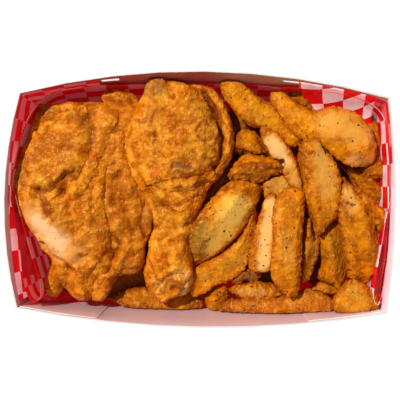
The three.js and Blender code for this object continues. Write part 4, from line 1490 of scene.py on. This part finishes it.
def wedge_looks(points, z, crisp, bare, looks, seed):
    """How browned, how pale, how dark and how crusted each point is. z is the height of the outline. The
    dark is painted shade, over the whole wedge and more below the outline's height.
    """
    pale, brown, _, dark = looks
    spots = step_up(rough(points, 5, seed + 2, 3), 0.25, 1.0)
    browned = (1.3 * crisp * (0.65 + 0.35 * spots) + 0.6 * spots) * brown * (1 - 0.8 * bare)
    paled = pale * (1 - crisp) * step_up(rough(points, 8, seed + 5), -0.2, 0.6)
    # Painted shade further down, under the other food.
    low = step_up(z - 6 - points[:, 2], 0, 12) * 0.4
    shade = np.clip(dark + low, 0, 0.85)
    return np.stack([np.clip(browned, 0, 0.92), paled, shade, 1 - 0.8 * bare], axis=1)


def make_wedge(number, crust, material):
    """One potato wedge, from its CAD solid, with crisp rough edges and smoother cut faces."""
    node = f"wedge_{number:02d}"
    looks = WEDGE_LOOKS.get(number, DEEP_WEDGE)
    coarse = looks[2]
    seed = 200 + number * 12
    square = FINE_SQUARE if number in WEDGE_OUTLINES else COARSE_SQUARE
    piece = rounded_food(node, "fried_" + node, square, 2, 1)
    mesh = piece.data
    points = points_of(mesh)
    z, pixels = WEDGE_OUTLINES.get(number, (points[:, 2].mean(), None))
    outline = curve_through(from_photo([*pixels, pixels[0]], z), 120)[0] if pixels else None
    if pixels:
        fit_outline(mesh, points, outline, long_axis(outline), 3)
    points, normals = points_of(mesh), normals_of(mesh)
    crisp = crisp_edges(mesh, points, normals, outline, seed)
    paint = patch_colors(points, facing_up(normals), WEDGE_PATCHES.get(number, []), z, seed)
    bare = paint[:, 3] * step_up(paint[:, 1], 0.3, 0.36)  # the paler patches are bare cuts
    height = crust * coarse * wedge_crust(points, crisp, seed) * (1 - 0.7 * bare) + 0.25
    points = inside_tray(points + normals * height[:, None], FOOD_GAP)
    set_points(mesh, points)
    set_attribute(mesh, "looks", "FLOAT_COLOR", wedge_looks(points, z, crisp, bare, looks, seed))
    set_attribute(mesh, "paint", "FLOAT_COLOR", paint)
    mesh.materials.append(material)
    ride(piece, "potato", node)


def make_wedges(sizes, colors):
    """The potato wedges, those that show and those of the lower layer."""
    material = fried_potato_material(colors)
    for number in range(1, WEDGE_COUNT + 1):
        make_wedge(number, sizes.wedge_crust / MM, material)


# ---------------------------------------------------------------- herbs and crumbs

# Where they may lie: the front left and the back right corner, in the photograph's pixels.
HERB_AREA = [(205, 318), (382, 80)]
CRUMB_AREA = [(18, 314), (380, 84)]
AREA_HEIGHT = 45  # height at which the areas were read
DROP_HEIGHT = 90  # they drop from above all the food
LOWEST_PLACE = 26  # and lie above this height
LEAST_SLOPE = 0.25  # where the surface faces up by at least this much
TRIES = 6  # places tried for each one that is wanted
HERB = {"lengths": [0.35, 0.45, 0.55, 0.7, 0.95], "slim": (0.35, 0.8), "thick": 0.18, "lift": 0.12}
CRUMB_SIZES = [0.4, 0.5, 0.6, 0.8]


def scattered(count, area, prefix, seed):
    """Random places on the food with the surface's direction, and the source of random draws."""
    graph = bpy.context.evaluated_depsgraph_get()
    graph.update()
    foods = [o for o in bpy.context.scene.objects if o.name.startswith(prefix)]
    trees = [BVHTree.FromObject(food, graph) for food in foods]
    luck = random.Random(seed)
    (left, front), (right, back) = from_photo(area, AREA_HEIGHT)
    spots = []
    for _ in range(count * TRIES):
        if len(spots) == count:
            break
        start = Vector((luck.uniform(left, right), luck.uniform(front, back), DROP_HEIGHT)) * MM
        hits = [tree.ray_cast(start, Vector((0, 0, -1))) for tree in trees]
        hits = [hit for hit in hits if hit[0] is not None]
        if hits:
            place, facing, _, _ = max(hits, key=lambda hit: hit[0].z)
            if place.z > LOWEST_PLACE * MM and facing.z > LEAST_SLOPE:
                spots.append((place, facing))
    return spots, luck


def lay_on(place, facing, turn, size):
    """The matrix that lays a small form on a surface, turned and stretched."""
    upright = facing.to_track_quat("Z", "Y").to_matrix().to_4x4()
    return (Matrix.Translation(place) @ upright @ Matrix.Rotation(turn, 4, "Z")
            @ Matrix.Diagonal((*(Vector(size) * MM), 1)))


def matt_material(name, size_mm, detail, codes, roughness, shine):
    """A dry matt food that varies between two colours."""
    material, tree, place = new_material(name)
    tone = add_node(tree, "ShaderNodeTexNoise", None, {
        "Vector": place, "Scale": noise_scale(size_mm), "Detail": detail}).outputs["Fac"]
    color = color_mix(tree, ranged(tree, tone, 0.4, 0.6), *(linear(code) for code in codes))
    shader = add_node(tree, "ShaderNodeBsdfPrincipled", None, {
        "Base Color": color, "Roughness": roughness, "Specular IOR Level": shine})
    finish_material(tree, shader)
    return material


def make_herbs(count):
    """Flakes of dried herb and pepper on the wedges, joined in one mesh."""
    form = bmesh.new()
    spots, luck = scattered(count, HERB_AREA, "fried_wedge", 7)
    for place, facing in spots:
        long = luck.choice(HERB["lengths"])
        wide = long * luck.uniform(*HERB["slim"])
        sides = luck.choice([4, 5, 6])
        flake = bmesh.ops.create_circle(form, cap_ends=True, segments=sides, radius=1)["verts"]
        for corner in flake:
            corner.co.x *= luck.uniform(0.7, 1.1)
            corner.co.z += luck.uniform(-0.2, 0.2)
        place = place + facing * HERB["lift"] * MM
        lay = lay_on(place, facing, luck.uniform(0, math.tau), (long, wide, 0.5))
        bmesh.ops.transform(form, matrix=lay, verts=flake)
    herbs = object_of(form, "dried_herbs")
    thick = herbs.modifiers.new("flake thickness", "SOLIDIFY")
    thick.thickness = HERB["thick"] * MM
    thick.offset = 0
    apply_modifiers(herbs)
    # Dried parsley and ground black pepper: matt, near black green.
    herbs.data.materials.append(matt_material("dried herbs", 7, 1, ("#1A1206", "#4A4410"), 0.75, 0.3))
    ride(herbs, "potato")


def make_crumbs(count):
    """Crisp crumbs of crust that stick to the food, joined in one mesh."""
    form = bmesh.new()
    spots, luck = scattered(count, CRUMB_AREA, "fried_", 19)
    for place, facing in spots:
        size = luck.choice(CRUMB_SIZES)
        crumb = bmesh.ops.create_icosphere(form, subdivisions=1, radius=1)["verts"]
        for corner in crumb:
            corner.co *= luck.uniform(0.65, 1.15)
        turn = luck.uniform(0, math.tau)
        lay = lay_on(place, facing, turn, (size, size * luck.uniform(0.6, 1), size * 0.6))
        bmesh.ops.transform(form, matrix=lay, verts=crumb)
    crumbs = object_of(form, "crisp_crumbs")
    # Loose bits of fried flour crust: dry, matt, golden to brown.
    crumbs.data.materials.append(matt_material("fried crumbs", 6, 2, ("#E09A34", "#B4640C"), 0.6, 0.35))
    ride(crumbs, "chicken")


# ---------------------------------------------------------------- operators, panel and run


class StageOperator(bpy.types.Operator):
    """Adds the floor, the light and the camera"""

    bl_idname = "meal.stage"
    bl_label = "Stage"

    def execute(self, context):
        make_stage()
        return {"FINISHED"}


class TrayOperator(bpy.types.Operator):
    """Adds the paperboard tray"""

    bl_idname = "meal.tray"
    bl_label = "Paperboard Tray"

    def execute(self, context):
        make_tray(context.scene.meal_colors)
        return {"FINISHED"}


class LinerOperator(bpy.types.Operator):
    """Adds the checked paper liner"""

    bl_idname = "meal.liner"
    bl_label = "Checked Liner"

    def execute(self, context):
        make_liner(context.scene.meal_sizes, context.scene.meal_colors)
        return {"FINISHED"}


class ChickenOperator(bpy.types.Operator):
    """Adds the pieces of fried chicken"""

    bl_idname = "meal.chicken"
    bl_label = "Fried Chicken"

    def execute(self, context):
        make_chicken(context.scene.meal_sizes, context.scene.meal_colors)
        return {"FINISHED"}


class WedgesOperator(bpy.types.Operator):
    """Adds the potato wedges"""

    bl_idname = "meal.wedges"
    bl_label = "Potato Wedges"

    def execute(self, context):
        make_wedges(context.scene.meal_sizes, context.scene.meal_colors)
        return {"FINISHED"}


class HerbsOperator(bpy.types.Operator):
    """Adds the flakes of dried herb on the wedges"""

    bl_idname = "meal.herbs"
    bl_label = "Dried Herbs"

    def execute(self, context):
        make_herbs(context.scene.meal_sizes.herbs)
        return {"FINISHED"}


class CrumbsOperator(bpy.types.Operator):
    """Adds the crumbs of crust on the food"""

    bl_idname = "meal.crumbs"
    bl_label = "Crumbs"

    def execute(self, context):
        make_crumbs(context.scene.meal_sizes.crumbs)
        return {"FINISHED"}


STEPS = ["stage", "tray", "liner", "chicken", "wedges", "herbs", "crumbs"]


class MealPanel(bpy.types.Panel):
    """Lists the steps that build the meal"""

    bl_idname = "VIEW3D_PT_meal"
    bl_label = "Fried Chicken And Wedges"
    bl_space_type = "VIEW_3D"
    bl_region_type = "UI"
    bl_category = "Meal"

    def draw(self, context):
        for group in (context.scene.meal_sizes, context.scene.meal_colors):
            for name in group.__annotations__:
                self.layout.prop(group, name)
        for name in STEPS:
            self.layout.operator("meal." + name)


CLASSES = [
    MealSizes, MealColors, StageOperator, TrayOperator, LinerOperator, ChickenOperator,
    WedgesOperator, HerbsOperator, CrumbsOperator, MealPanel,
]


def register():
    """Registers the classes and the scene's settings."""
    for cls in CLASSES:
        bpy.utils.register_class(cls)
    bpy.types.Scene.meal_sizes = PointerProperty(type=MealSizes)
    bpy.types.Scene.meal_colors = PointerProperty(type=MealColors)


def unregister():
    """Takes the classes and the scene's settings away again."""
    del bpy.types.Scene.meal_colors
    del bpy.types.Scene.meal_sizes
    for cls in reversed(CLASSES):
        bpy.utils.unregister_class(cls)


def main():
    """Builds the meal."""
    register()
    for name in STEPS:
        getattr(bpy.ops.meal, name)()


if __name__ == "__main__":
    main()
